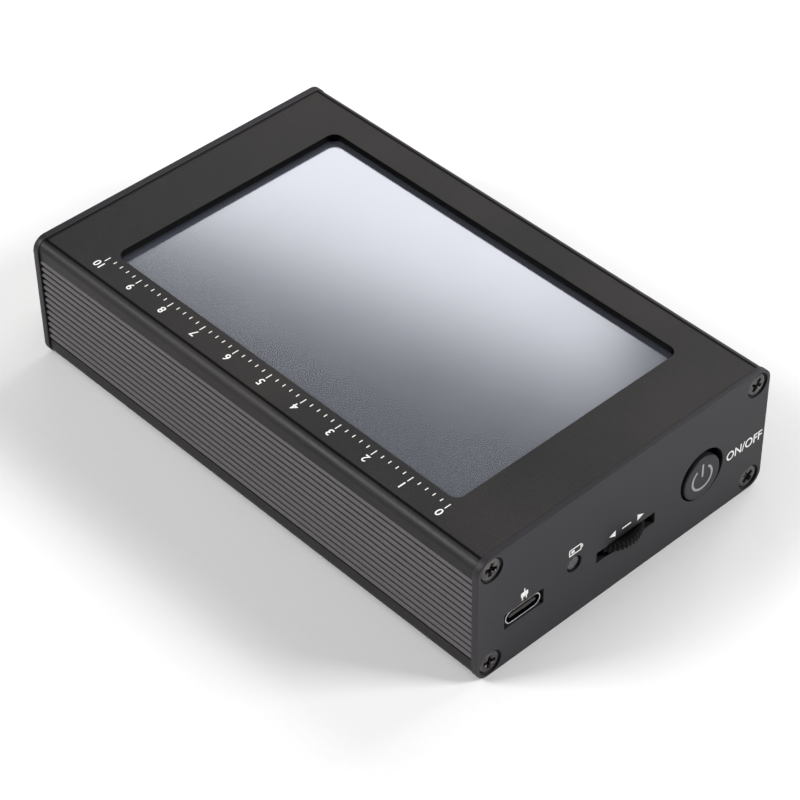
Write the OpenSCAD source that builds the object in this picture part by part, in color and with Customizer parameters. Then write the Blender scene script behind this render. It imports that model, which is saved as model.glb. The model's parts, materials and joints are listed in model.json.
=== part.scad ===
// Handheld spectrum analyzer in a ribbed aluminium tube case.
// +X runs from the control end plate to the connector end plate, +Z is up through the screen.
// The origin is under the middle of the whole instrument, on the surface that it rests on.

/* [Case] */
// Length of the extruded tube
tube_l = 122; // [118:0.5:150]
// Width of the tube across its flat side strips
tube_w = 75.5; // [75:0.5:90]
// Height of the tube
tube_h = 28.7; // [28:0.1:36]
// Wall thickness of the tube
wall_t = 1.4; // [1.2:0.1:1.6]
// Outer radius of the tube's long edges
edge_r = 2; // [1:0.1:2.6]
// Thickness of each end plate
plate_t = 1.5; // [1.4:0.1:2.5]
// How far an end plate stands past the tube on every side
plate_overhang = 0.4; // [0.1:0.1:1]
// Corner radius of the end plates
plate_corner_r = 3; // [1.5:0.1:4]

/* [Side ribs] */
// Number of rounded ribs on each long side
rib_count = 13; // [7:1:14]
// Distance from one rib to the next
rib_pitch = 1.54; // [1.2:0.02:1.6]
// Depth of the grooves between the ribs
groove_depth = 0.5; // [0.3:0.05:0.6]

/* [Screen window] */
// Border between the window and the tube's ends
window_end_border = 13.35; // [12.5:0.05:20]
// Border between the window and the tube's sides
window_side_border = 9; // [8.5:0.1:15]
// Corner radius of the window
window_r = 2; // [0.5:0.1:4]

/* [End plate screws] */
// Nominal thread diameter
screw_d = 3; // [2:0.1:3.2]
// Overall length of a countersunk screw
screw_l = 8; // [5:0.5:9]
// Diameter of a countersunk head
screw_head_d = 5.5; // [5:0.1:5.8]
// How far a head sits under the plate's face
head_sink = 0.25; // [0:0.05:0.3]
// Distance from the tube's sides to each screw's axis
screw_in_y = 3.1; // [3:0.05:3.6]
// Distance from the tube's top or bottom to each screw's axis
screw_in_z = 2.65; // [2.6:0.05:3.2]
// Outer radius of the screw channels inside the tube
boss_r = 2.5; // [2.2:0.1:2.7]

/* [Display] */
// Thickness of the foam gasket behind the window
gasket_t = 0.3; // [0.2:0.05:0.6]
// Room between the touch panel and the tube's ends
touch_end_room = 8.75; // [8.4:0.05:10]
// Room between the touch panel and the tube's inner sides
touch_side_room = 3.85; // [3.4:0.05:4.5]
// Thickness of the touch panel
touch_t = 1.3; // [1:0.1:1.5]
// Thickness of the tape between the touch panel and the display
touch_tape_t = 0.1; // [0.05:0.05:0.2]
// Room between the display module and the tube's ends
lcd_end_room = 8.25; // [8:0.05:10]
// Room for the cables between the display module and the tube's inner sides
lcd_side_room = 2.75; // [2.6:0.05:3.6]
// Thickness of the display module
lcd_t = 2.9; // [2.6:0.1:3.2]
// How far the window reaches past the picture at each end
picture_end_margin = 0.13; // [0:0.01:1]
// How far the window reaches past the picture at each side
picture_side_margin = 1.82; // [0:0.01:3]
// Thickness of the display module's steel frame
lcd_frame_t = 0.3; // [0.2:0.05:0.4]
// Thickness of the display glass
lcd_glass_t = 1.1; // [0.8:0.1:1.3]
// Thickness of the foam pads under the display
foam_t = 1.2; // [1:0.1:2]
// Width of each foam pad
foam_w = 8; // [4:0.5:12]
// Room between the display board and the tube's ends
display_board_end_room = 7; // [6.8:0.1:9]
// Room between the display board and the tube's inner sides
display_board_side_room = 3.85; // [3.4:0.05:4.5]

/* [Circuit boards] */
// Thickness of both circuit boards
board_t = 1.6; // [1.2:0.1:1.8]
// Height of the main board's top face above the resting surface
board_top = 9.25; // [9.2:0.05:9.6]
// Gap between the main board and the tube's inner sides
board_side_gap = 0.4; // [0.2:0.05:0.6]
// Gap between the main board and the end plates
board_end_gap = 0.6; // [0.4:0.1:0.8]
// Height of a guide rail above or below the main board
rail_h = 1.2; // [0.8:0.1:1.6]
// How far the guide rails reach over the main board's edges
rail_reach = 1.6; // [1:0.1:2]
// Distance from the display board's ends to each spacer's axis
spacer_in_x = 8; // [6:0.5:12]
// Distance from the display board's sides to each spacer's axis
spacer_in_y = 3.5; // [3.2:0.1:5]
// Width across the flats of a hexagonal spacer
spacer_af = 5; // [4.5:0.1:5.5]
// Thread diameter of the board screws
board_screw_d = 2.5; // [2:0.1:3]
// Thickness of the header plug's base
header_base_h = 2.5; // [2:0.1:3.5]
// Distance from the control end plate's face to the header
header_in_x = 30; // [28:0.5:36]
// Number of pins along the header
header_pins = 10; // [6:1:12]

/* [Controls] */
// Radius of the thumbwheel
wheel_r = 7.3; // [6.8:0.1:7.6]
// Thickness of the thumbwheel
wheel_t = 1.7; // [1.4:0.1:1.9]
// How far the thumbwheel stands out of the plate
wheel_bulge = 1.95; // [1:0.05:2.4]
// Height of the thumbwheel above the main board
wheel_lift = 0.7; // [0.6:0.05:0.9]
// Number of knurl grooves around the thumbwheel
wheel_teeth = 50; // [36:1:54]
// Radius of the thumbwheel's axle
axle_r = 1; // [0.8:0.1:1.5]
// Travel of the thumbwheel when it is pressed
wheel_travel = 0.4; // [0.2:0.05:0.5]
// Width of the thumbwheel's slot
slot_w = 15.5; // [15:0.1:17]
// Height of the thumbwheel's slot
slot_h = 2.65; // [2.4:0.05:3]
// Radius of the power button's cap
button_r = 4.9; // [4.5:0.1:5.2]
// Radius of the power button's hole
button_hole_r = 5.8; // [5.7:0.1:6.2]
// Sideways place of the power button
button_y = -20.5; // [-21:0.1:-20]
// Height of the power button's axis above the main board
button_lift = 3; // [2.95:0.05:3.3]
// How far the button's hole sits above the button's axis
button_hole_rise = 0.75; // [0:0.05:0.8]
// How far the power button stands out of the plate
button_proud = 0.15; // [0.05:0.05:0.5]
// Travel of the power button
button_travel = 1.5; // [0.8:0.1:1.6]

/* [Charge socket and lamp] */
// Width of the socket's shell
usb_w = 8.94; // [8.8:0.01:9]
// Height of the socket's shell
usb_h = 3.26; // [3.1:0.01:3.3]
// Depth of the socket's shell
usb_depth = 7.35; // [6.5:0.05:8]
// Wall of the socket's shell
usb_shell_t = 0.3; // [0.2:0.05:0.35]
// Sideways place of the socket
usb_y = 26.38; // [26:0.02:27]
// How far the socket's mouth sits behind the plate's face
usb_sink = 0.3; // [0.1:0.05:0.6]
// Gap between the shell and its cut-out
usb_cut_gap = 0.3; // [0.2:0.05:0.5]
// Radius of the charge lamp
led_r = 1.5; // [1.4:0.05:1.6]
// Radius of the charge lamp's hole
led_hole_r = 1.85; // [1.75:0.05:2]
// Sideways place of the charge lamp
led_y = 13.65; // [13:0.05:14]
// Height of the charge lamp's axis above the main board
led_lift = 4.1; // [3.8:0.1:4.4]
// How far the lamp's tip sits behind the plate's face
led_sink = 0.35; // [0.1:0.05:0.6]

/* [Coaxial jacks] */
// Distance from the middle to each coaxial jack
jack_y = 18; // [14:0.5:24]
// Reach of a jack past the connector end plate
jack_reach = 9.4; // [8:0.1:12]
// Thread radius of a jack
jack_r = 3.175; // [3:0.005:3.3]
// Radius of a jack's insulator
jack_insulator_r = 2.05; // [1.9:0.05:2.2]
// Radius of a jack's centre contact
jack_contact_r = 0.64; // [0.5:0.01:0.8]
// Width across the flats of a jack nut
jack_nut_af = 8; // [7.6:0.1:9]
// Thickness of a jack nut
jack_nut_t = 2; // [1.6:0.1:2.6]
// Thickness of a jack's washer
jack_washer_t = 0.5; // [0.3:0.1:0.8]

/* [Battery] */
// Length of the pouch cell
cell_l = 70; // [50:1:78]
// Gap between the pouch cell and the board screws' heads
cell_side_gap = 1.75; // [0.5:0.05:6]
// Gap between the pouch cell and the main board
cell_top_gap = 0.7; // [0.4:0.05:2]
// Room between the pouch cell and the connector end plate
cell_end_room = 8.5; // [7.5:0.1:14]
// Thickness of the tape under the pouch cell
cell_tape_t = 0.15; // [0.1:0.05:0.3]

/* [Hidden] */
$fn = 48;

// Clearance of a screw or pin in its hole
pin_gap = 0.05;
// Clearance between flat moving faces
slide_gap = 0.2;
// Small gap that keeps seated faces from cutting into each other
seat_gap = 0.02;

// Ends of the case along X
case_l = tube_l + 2 * plate_t;
near_x = wheel_bulge - (wheel_bulge + case_l + jack_reach) / 2;
near_in_x = near_x + plate_t;
far_x = near_x + case_l;
far_in_x = far_x - plate_t;
mid_x = (near_x + far_x) / 2;

// Levels of the case
plate_w = tube_w + 2 * plate_overhang;
plate_h = tube_h + 2 * plate_overhang;
mid_z = plate_h / 2;
floor_z = plate_overhang + wall_t;
tube_top = plate_overhang + tube_h;
roof_z = tube_top - wall_t;
inner_w = tube_w - 2 * wall_t;
inner_h = tube_h - 2 * wall_t;
inner_corner_r = 0.6;
window_l = tube_l - 2 * window_end_border;
window_w = tube_w - 2 * window_side_border;

// Places of the end plate screws, and the milled-away length of the upper channels
screw_y = tube_w / 2 - screw_in_y;
screw_z = tube_h / 2 - screw_in_z;
head_gap = 0.2;
plate_hole_gap = 0.1;
recess_w = 0.7;
recess_span = 3;
recess_depth = 1.3;
relief_gap = 0.5;

// Levels and sizes of the display, from the window down
gasket_lip = 0.7;
tape_lip = 1.2;
touch_top = roof_z - gasket_t;
touch_low = touch_top - touch_t;
touch_l = tube_l - 2 * touch_end_room;
touch_w = inner_w - 2 * touch_side_room;
lcd_top = touch_low - touch_tape_t;
lcd_low = lcd_top - lcd_t;
lcd_l = tube_l - 2 * lcd_end_room;
lcd_w = inner_w - 2 * lcd_side_room;
picture_l = window_l - 2 * picture_end_margin;
picture_w = window_w - 2 * picture_side_margin;
frame_lip = 1;
foam_end_in = 9;
foam_side_in = 13.6;
foam_l = lcd_l - 2 * foam_end_in;
foam_y = lcd_w / 2 - foam_side_in;
display_board_l = tube_l - 2 * display_board_end_room;
display_board_w = inner_w - 2 * display_board_side_room;
display_board_top = lcd_low - foam_t;
display_board_low = display_board_top - board_t;

// Main board outline
board_low = board_top - board_t;
stack_h = display_board_low - board_top;
jack_flange_t = 1.8;
board_x0 = near_in_x + board_end_gap;
board_x1 = far_in_x - jack_flange_t - board_end_gap;
board_w = inner_w - 2 * board_side_gap;

// Spacers between the two boards, and their screws
spacer_pitch_x = display_board_l - 2 * spacer_in_x;
spacer_pitch_y = display_board_w - 2 * spacer_in_y;
spacer_corner_r = spacer_af / sqrt(3);
shank_r = 2;
spacer_bore_depth = 6;
board_screw_reach = 5;
board_head_r = 2.25;
board_head_h = 1.6;
board_recess_w = 0.6;
board_recess_depth = 0.8;

// Thumbwheel and its carrier
wheel_x = near_x - wheel_bulge + wheel_r;
wheel_z = board_top + wheel_lift;
wheel_top = wheel_z + wheel_t;
knurl_r = 0.3;
code_disc_t = 0.2;
code_disc_r = 4.4;
slot_rise = 0.25;
arm_t = 1;
arm_gap = 0.3;
arm_w = 4.8;
carrier_low = wheel_z - arm_gap - arm_t;
carrier_high = wheel_top + code_disc_t + arm_gap + arm_t;
carrier_w = 8;
carrier_x0 = wheel_x + wheel_r + 0.5;
carrier_x1 = carrier_x0 + 2;
tail_x1 = carrier_x1 + 5;
tail_w = 6;
tail_h = 1.6;
tail_z = wheel_z + (wheel_t - tail_h) / 2;
encoder_x0 = carrier_x1 + wheel_travel + arm_gap;
encoder_x1 = encoder_x0 + 6;
encoder_w = 14;
encoder_h = 4.5;
notch_gap = 1.2;
notch_w = 2 * wheel_r + 2 * notch_gap;
push_switch_l = 3.5;
push_switch_w = 6;
push_switch_h = 4;
push_nub_r = 0.7;
push_gap = 0.1;

// Power switch
button_z = board_top + button_lift;
cap_back = 0.9;
cap_l = plate_t + button_proud + cap_back;
cap_x1 = near_x - button_proud + cap_l;
cap_notch_gap = 0.6;
switch_gap = 0.3;
switch_x0 = cap_x1 + button_travel + switch_gap;
switch_l = 8;
switch_w = 5.8;
stem_r = 1.5;
stem_depth = 3;
stem_socket = 1.4;
stem_gap = 0.1;

// Charge socket and lamp
usb_x0 = near_x + usb_sink;
usb_z = board_top + usb_h / 2;
usb_cut_w = usb_w + 2 * usb_cut_gap + 0.36;
usb_cut_h = usb_h + 2 * usb_cut_gap - 0.1;
tongue_w = 6.7;
tongue_t = 0.7;
tongue_x0 = usb_x0 + 0.15;
tongue_root_x = usb_x0 + 5.4;
contact_l = 3.6;
contact_w = 0.26;
contact_t = 0.08;
contact_pitch = 0.5;
led_z = board_top + led_lift;
led_x0 = near_x + led_sink;
led_l = 4.8;
led_flange_r = 1.95;
led_flange_t = 1;
holder_l = 4.5;
holder_w = 4.4;
holder_rise = 2.2;

// Coaxial jacks
jack_pin_rise = 0.45;
jack_z = board_top + jack_pin_rise;
jack_groove_w = 0.6;
jack_groove_depth = 0.3;
jack_seat_x = far_x + jack_washer_t + jack_nut_t;
jack_sides = [-1, 1];
jack_leg_l = 4;
jack_leg_w = 1.2;
jack_leg_y = 2.4;
jack_leg_t = 0.8;
jack_mouth = 1.9;
jack_pin_r = 0.38;
jack_pin_l = 3;
jack_socket_r = 0.47;
jack_socket_l = 3.1;
jack_washer_r = 4.6;

// Header between the two boards
header_x = near_x + header_in_x;
pin_pitch = 2.54;
header_w = header_pins * pin_pitch;
header_socket_h = stack_h - header_base_h - pin_gap;
header_pin_w = 0.64;
header_pin_short = 2.6;
header_pin_l = header_socket_h - header_pin_short;
header_slot_w = 0.84;
header_slot_extra = 1;

// Battery bay, laid out from the connector end
cell_z = floor_z + cell_tape_t;
cell_t = board_low - cell_top_gap - cell_z;
cell_w = spacer_pitch_y - 2 * board_head_r - 2 * cell_side_gap;
cell_corner_r = 2;
cell_x0 = far_in_x - cell_end_room - cell_l;
cell_tape_in = 5;
sheet_t = 0.2;
sheet_margin = 1;
strip_l = 3.5;
strip_h = 3.2;
strip_in = 5;
plug_w = 5.2;
plug_h = 3;
plug_wall = 0.9;
plug_tail = 1.4;
plug_z = board_low - plug_wall - pin_gap - plug_h / 2;
battery_socket_l = 7.6;
lead_r = 0.6;
lead_l = 7.5;
lead_gap = 1;
plug_x1 = cell_x0 - strip_l - lead_l;
battery_socket_x = plug_x1 - plug_tail - battery_socket_l;
battery_socket_in = 9;
battery_socket_y = cell_w / 2 - battery_socket_in;

// Shield over the radio circuits, laid out from the connector end
shield_l = 46;
shield_side_gap = 2.1;
shield_w = spacer_pitch_y - 2 * spacer_corner_r - 2 * shield_side_gap;
shield_h = 3.8;
shield_t = 0.3;
shield_end_room = 11.5;
shield_x0 = far_in_x - shield_end_room - shield_l;
mid_shield = shield_x0 + shield_l / 2;
lid_t = 0.25;
lid_skirt = 2;
vent_r = 0.8;
vent_pitch = 8;

// Cables at the display's edges, and their connectors
flex_t = 0.2;
flex_bend_r = 0.8;
lcd_flex_reach = 1.6;
lcd_flex_rise = 0.8;
touch_flex_reach = 1.4;
connector_h = 2;
connector_depth = 4.4;
connector_in = 0.2;
connector_y1 = display_board_w / 2 - connector_in;
connector_y0 = connector_y1 - connector_depth;
lcd_connector_l = 26;
touch_connector_l = 9;
touch_connector_in_x = 30;
touch_connector_x = mid_x + touch_connector_in_x;
connector_side = 2;
flex_low = display_board_low - connector_h / 2;

// Chips: sizes of their bodies, and the row of leads along a side
big_chip = 10;
big_chip_h = 1.5;
big_chip_leads = 16;
big_chip_pitch = 0.5;
small_chip_l = 4.9;
small_chip_w = 3.9;
small_chip_h = 1.5;
small_chip_pitch = 1.1;
synth_chip = 5;
mixer_chip_l = 3;
flat_chip_h = 0.9;
regulator_l = 6.5;
regulator_w = 3.5;
regulator_h = 1.7;
regulator_pitch = 2.3;
lead_out = 0.4;
capacitor_l = 1.6;
capacitor_w = 0.8;
crystal_l = 5;
crystal_w = 3.2;
crystal_h = 1.2;
inductor_l = 6;
inductor_h = 2.8;

black_metal = "#3d3b3d";
plate_metal = "#454347";
dark_steel = "#4c4b4d";
board_green = "#1f5a34";
chip_black = "#222224";
bright_steel = "#b9bcc0";
gold = "#c9a24a";
brass = "#b08d4a";
foam_black = "#1b1b1c";
amber_film = "#b5762c";

module block(x, y, z) {
    translate([x[0], y[0], z[0]])
        cube([x[1] - x[0], y[1] - y[0], z[1] - z[0]]);
}

module rod_x(x, y, z, r) {
    translate([x[0], y, z])
        rotate([0, 90, 0])
            cylinder(h = x[1] - x[0], r = r);
}

module rod_z(x, y, z, r) {
    translate([x, y, z[0]])
        cylinder(h = z[1] - z[0], r = r);
}

// Runs a flat outline, drawn in Y and Z, from one X to another
module along_x(x) {
    translate([x[0], 0, 0])
        rotate([90, 0, 90])
            linear_extrude(height = x[1] - x[0])
                children();
}

// Rectangle with round corners, made of straight strips and true circles
module round_rect(w, h, r) {
    square([w - 2 * r, h], center = true);
    square([w, h - 2 * r], center = true);
    for (sx = [-1, 1], sy = [-1, 1])
        translate([sx * (w / 2 - r), sy * (h / 2 - r)])
            circle(r);
}

module at_end_screws() {
    for (sy = [-1, 1], sz = [-1, 1])
        translate([0, sy * screw_y, mid_z + sz * screw_z])
            children();
}

module at_spacers() {
    for (sx = [-1, 1], sy = [-1, 1])
        translate([mid_x + sx * spacer_pitch_x / 2, sy * spacer_pitch_y / 2, 0])
            children();
}

module at_jacks() {
    for (s = jack_sides)
        translate([0, s * jack_y, 0])
            children();
}

module tube_outline() {
    rib_r = rib_pitch / 2;
    difference() {
        translate([0, mid_z])
            round_rect(tube_w, tube_h, edge_r);
        for (s = [-1, 1])
            translate([s * (tube_w - groove_depth) / 2, mid_z])
                square([groove_depth, rib_count * rib_pitch], center = true);
    }
    for (s = [-1, 1], i = [0 : rib_count - 1])
        translate([s * (tube_w / 2 - rib_r), mid_z + (i - (rib_count - 1) / 2) * rib_pitch])
            circle(rib_r, $fn = 24);
}

module tube_hollow() {
    difference() {
        translate([0, mid_z])
            round_rect(inner_w, inner_h, inner_corner_r);
        for (sy = [-1, 1], sz = [-1, 1])
            translate([sy * screw_y, mid_z + sz * screw_z])
                circle(boss_r);
        for (s = [-1, 1])
            translate([s * (inner_w - rail_reach) / 2, 0]) {
                translate([0, board_low - slide_gap - rail_h / 2])
                    square([rail_reach, rail_h], center = true);
                translate([0, board_top + slide_gap + rail_h / 2])
                    square([rail_reach, rail_h], center = true);
            }
    }
}

module case_tube() {
    relief_l = display_board_l + 2 * relief_gap;
    boss_low = mid_z + screw_z - boss_r - pin_gap;
    color(black_metal)
        difference() {
            along_x([near_in_x, far_in_x])
                difference() {
                    tube_outline();
                    tube_hollow();
                    for (sy = [-1, 1], sz = [-1, 1])
                        translate([sy * screw_y, mid_z + sz * screw_z])
                            circle(screw_d / 2 + pin_gap);
                }
            block([mid_x - relief_l / 2, mid_x + relief_l / 2],
                  [-inner_w / 2, inner_w / 2], [boss_low, roof_z]);
            translate([mid_x, 0, roof_z - 1])
                linear_extrude(height = wall_t + 2)
                    round_rect(window_l, window_w, window_r);
        }
}

// Countersunk hole whose mouth is at x and which opens towards the given side
module countersink(x, side) {
    head_r = screw_head_d / 2 + head_gap;
    hole_r = screw_d / 2 + plate_hole_gap;
    cone_l = head_r - hole_r;
    translate([x, 0, 0])
        rotate([0, side * -90, 0]) {
            translate([0, 0, -head_sink])
                cylinder(h = head_sink + 1, r = head_r);
            translate([0, 0, -head_sink - cone_l])
                cylinder(h = cone_l, r1 = hole_r, r2 = head_r);
            translate([0, 0, -plate_t - 1])
                cylinder(h = plate_t + 1, r = hole_r);
        }
}

module end_plate_blank(x) {
    along_x(x)
        translate([0, mid_z])
            round_rect(plate_w, plate_h, plate_corner_r);
}

module control_end_plate() {
    cut = [near_x - 1, near_in_x + 1];
    color(plate_metal)
        difference() {
            end_plate_blank([near_x, near_in_x]);
            at_end_screws()
                countersink(near_x, 1);
            block(cut, [usb_y - usb_cut_w / 2, usb_y + usb_cut_w / 2],
                  [usb_z - usb_cut_h / 2, usb_z + usb_cut_h / 2]);
            rod_x(cut, led_y, led_z, led_hole_r);
            rod_x(cut, button_y, button_z + button_hole_rise, button_hole_r);
            block(cut, [-slot_w / 2, slot_w / 2],
                  [wheel_top + slot_rise - slot_h, wheel_top + slot_rise]);
        }
}

module connector_end_plate() {
    color(plate_metal)
        difference() {
            end_plate_blank([far_in_x, far_x]);
            at_end_screws()
                countersink(far_x, -1);
            at_jacks()
                rod_x([far_in_x - 1, far_x + 1], 0, jack_z, jack_r + plate_hole_gap);
        }
}

// Countersunk cross-head screw whose head is at x, seen from the given side
module end_screw(x, side) {
    head_r = screw_head_d / 2;
    cone_l = head_r - screw_d / 2;
    translate([x + side * head_sink, 0, 0])
        rotate([0, side * 90, 0])
            difference() {
                union() {
                    cylinder(h = cone_l, r1 = head_r, r2 = screw_d / 2);
                    cylinder(h = screw_l, r = screw_d / 2);
                }
                for (a = [0, 90])
                    rotate([0, 0, a])
                        cube([recess_span, recess_w, 2 * recess_depth], center = true);
            }
}

module control_plate_screws() {
    color(dark_steel)
        at_end_screws()
            end_screw(near_x, 1);
}

module connector_plate_screws() {
    color(dark_steel)
        at_end_screws()
            end_screw(far_x, -1);
}

// Flat ring around the window
module frame_ring(outer, inner, z) {
    translate([mid_x, 0, z[0]])
        linear_extrude(height = z[1] - z[0])
            difference() {
                square(outer, center = true);
                square(inner, center = true);
            }
}

module window_gasket() {
    color(foam_black)
        frame_ring([touch_l, touch_w], [window_l + 2 * gasket_lip, window_w + 2 * gasket_lip],
                   [touch_top, roof_z]);
}

// Flat slab centred under the window
module centred_slab(l, w, z) {
    block([mid_x - l / 2, mid_x + l / 2], [-w / 2, w / 2], z);
}

module touch_panel() {
    color("#4b4f58")
        centred_slab(touch_l, touch_w, [touch_low, touch_top]);
}

module touch_tape() {
    color(foam_black)
        frame_ring([touch_l, touch_w], [window_l + 2 * tape_lip, window_w + 2 * tape_lip],
                   [lcd_top, touch_low]);
}

module lcd_frame() {
    color(bright_steel)
        difference() {
            centred_slab(lcd_l, lcd_w, [lcd_low, lcd_top]);
            centred_slab(lcd_l - 2 * lcd_frame_t, lcd_w - 2 * lcd_frame_t,
                         [lcd_low - 1, lcd_top - lcd_frame_t]);
            centred_slab(picture_l + 2 * frame_lip, picture_w + 2 * frame_lip,
                         [lcd_low, lcd_top + 1]);
        }
}

module lcd_glass() {
    color("#2a2d33")
        centred_slab(lcd_l - 2 * lcd_frame_t - 2 * pin_gap, lcd_w - 2 * lcd_frame_t - 2 * pin_gap,
                     [lcd_top - lcd_frame_t - lcd_glass_t, lcd_top - lcd_frame_t]);
}

module backlight() {
    color("#e8e8e4")
        centred_slab(lcd_l - 2 * lcd_frame_t - 2 * pin_gap, lcd_w - 2 * lcd_frame_t - 2 * pin_gap,
                     [lcd_low, lcd_top - lcd_frame_t - lcd_glass_t]);
}

// Quarter of a flat ring in the sector from angle a to a + 90, for a cable's bend
module bend(r, a) {
    intersection() {
        difference() {
            circle(r + flex_t / 2);
            circle(r - flex_t / 2);
        }
        rotate(a)
            square(2 * r);
    }
}

// Flat cable that leaves at y0 and top, turns down at y1 and comes back in to y2 at bottom
module edge_cable(y0, y1, y2, top, bottom) {
    r = flex_bend_r;
    translate([y0, top - flex_t / 2])
        square([y1 - r - y0, flex_t]);
    translate([y1 - r, top - r])
        bend(r, 0);
    translate([y1 - flex_t / 2, bottom + r])
        square([flex_t, top - bottom - 2 * r]);
    translate([y1 - r, bottom + r])
        bend(r, -90);
    translate([y2, bottom - flex_t / 2])
        square([y1 - r - y2, flex_t]);
}

module lcd_flex() {
    half = lcd_connector_l / 2 - connector_side;
    color(amber_film)
        along_x([mid_x - half, mid_x + half])
            edge_cable(lcd_w / 2, lcd_w / 2 + lcd_flex_reach, connector_y1,
                       lcd_low + lcd_flex_rise, flex_low);
}

module touch_flex() {
    half = touch_connector_l / 2 - connector_side;
    color(amber_film)
        translate([2 * touch_connector_x, 0, 0])
            rotate([0, 0, 180])
                along_x([touch_connector_x - half, touch_connector_x + half])
                    edge_cable(touch_w / 2, lcd_w / 2 + touch_flex_reach, connector_y1,
                               touch_low + touch_t / 2, flex_low);
}

module foam_pads() {
    color(foam_black)
        for (s = [-1, 1])
            translate([0, s * foam_y, 0])
                centred_slab(foam_l, foam_w, [display_board_top, lcd_low]);
}

module display_board() {
    color(board_green)
        difference() {
            centred_slab(display_board_l, display_board_w, [display_board_low, display_board_top]);
            at_spacers()
                rod_z(0, 0, [display_board_low - 1, display_board_top + 1], shank_r + pin_gap);
        }
}

module lcd_connector() {
    color("#d8cdb4")
        block([mid_x - lcd_connector_l / 2, mid_x + lcd_connector_l / 2],
              [connector_y0, connector_y1],
              [display_board_low - connector_h, display_board_low]);
}

module touch_connector() {
    half = touch_connector_l / 2;
    color("#d8cdb4")
        block([touch_connector_x - half, touch_connector_x + half],
              [-connector_y1, -connector_y0],
              [display_board_low - connector_h, display_board_low]);
}

// Flat chip with a row of leads along each long side, standing on the XY plane
module gull_chip(l, w, h, leads, pitch) {
    half_leads = (leads - 1) / 2;
    block([-l / 2, l / 2], [-w / 2, w / 2], [pin_gap, h]);
    for (s = [-1, 1], i = [0 : leads - 1])
        translate([(i - half_leads) * pitch, s * (w / 2 + lead_out), h / 4])
            cube([pitch / 2, 2.5 * lead_out, h / 2], center = true);
}

// Eight-lead chip, as the charger and the level detector have
module small_chip() {
    gull_chip(small_chip_l, small_chip_w, small_chip_h, 4, small_chip_pitch);
}

// Chip without leads, standing on the XY plane
module flat_chip(l) {
    block([-l / 2, l / 2], [-l / 2, l / 2], [0, flat_chip_h]);
}

module touch_controller() {
    color(chip_black)
        translate([touch_connector_x, -connector_y0 + 3 * small_chip_w, display_board_low])
            rotate([180, 0, 0])
                small_chip();
}

// Both rows of header pins, each a square bar of the given width and length hanging from z
module pin_rows(z, w, l) {
    for (dx = [-pin_pitch / 2, pin_pitch / 2], i = [0 : header_pins - 1])
        translate([header_x + dx, (i - (header_pins - 1) / 2) * pin_pitch, z - l / 2])
            cube([w, w, l], center = true);
}

module header_plug() {
    color("#2b2b2d")
        block([header_x - pin_pitch, header_x + pin_pitch], [-header_w / 2, header_w / 2],
              [display_board_low - header_base_h, display_board_low]);
    color(gold)
        pin_rows(display_board_low - header_base_h, header_pin_w, header_pin_l);
}

module header_socket() {
    top = board_top + header_socket_h;
    color("#2b2b2d")
        difference() {
            block([header_x - pin_pitch, header_x + pin_pitch], [-header_w / 2, header_w / 2],
                  [board_top, top]);
            pin_rows(top + 1, header_slot_w, header_pin_l + header_slot_extra + 1);
        }
}

module board_spacers() {
    color(brass)
        at_spacers()
            difference() {
                union() {
                    translate([0, 0, board_top])
                        cylinder(h = stack_h, r = spacer_corner_r, $fn = 6);
                    rod_z(0, 0, [display_board_low, display_board_top], shank_r);
                }
                rod_z(0, 0, [board_top - 1, board_top + spacer_bore_depth],
                      board_screw_d / 2 + pin_gap);
            }
}

module board_screws() {
    color(bright_steel)
        at_spacers() {
            rod_z(0, 0, [board_low, board_top + board_screw_reach], board_screw_d / 2);
            difference() {
                rod_z(0, 0, [board_low - board_head_h, board_low], board_head_r);
                for (a = [0, 90])
                    translate([0, 0, board_low - board_head_h])
                        rotate([0, 0, a])
                            cube([board_head_r, board_recess_w, 2 * board_recess_depth],
                                 center = true);
            }
        }
}

module main_board() {
    cut = [board_low - 1, board_top + 1];
    button_notch = button_r + cap_notch_gap;
    color(board_green)
        difference() {
            block([board_x0, board_x1], [-board_w / 2, board_w / 2], [board_low, board_top]);
            block([board_x0 - 1, carrier_x1 + wheel_travel + slide_gap],
                  [-notch_w / 2, notch_w / 2], cut);
            block([board_x0 - 1, switch_x0 - pin_gap],
                  [button_y - button_notch, button_y + button_notch], cut);
            at_spacers()
                rod_z(0, 0, cut, board_screw_d / 2 + plate_hole_gap);
        }
}

module controller_chip() {
    color(chip_black)
        translate([header_x + pin_pitch + 1.5 * big_chip, 0, board_top]) {
            for (a = [0, 90])
                rotate([0, 0, a])
                    gull_chip(big_chip, big_chip, big_chip_h, big_chip_leads, big_chip_pitch);
        }
}

module shield_fence() {
    half_l = shield_l / 2;
    half_w = shield_w / 2;
    color(bright_steel)
        translate([mid_shield, 0, board_top])
            difference() {
                block([-half_l, half_l], [-half_w, half_w], [0, shield_h]);
                for (s = [-1, 1])
                    translate([s * half_l / 2, 0, shield_h / 2])
                        cube([half_l - 1.5 * shield_t, shield_w - 2 * shield_t, shield_h + 2],
                             center = true);
            }
}

module shield_lid() {
    half_l = shield_l / 2 + pin_gap;
    half_w = shield_w / 2 + pin_gap;
    color(bright_steel)
        translate([mid_shield, 0, board_top + shield_h])
            difference() {
                block([-half_l - lid_t, half_l + lid_t], [-half_w - lid_t, half_w + lid_t],
                      [-lid_skirt, lid_t]);
                block([-half_l, half_l], [-half_w, half_w], [-lid_skirt - 1, 0]);
                for (i = [-2 : 2], j = [-2 : 2])
                    rod_z(i * vent_pitch, j * vent_pitch, [-1, 1], vent_r);
            }
}

// Places a piece on the main board in one half of the shield
module in_shield(side, y) {
    translate([mid_shield + side * shield_l / 4, y, board_top])
        children();
}

module synthesizer_chips() {
    color(chip_black)
        for (s = [-1, 1])
            in_shield(-1, s * shield_w / 4)
                flat_chip(synth_chip);
}

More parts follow.
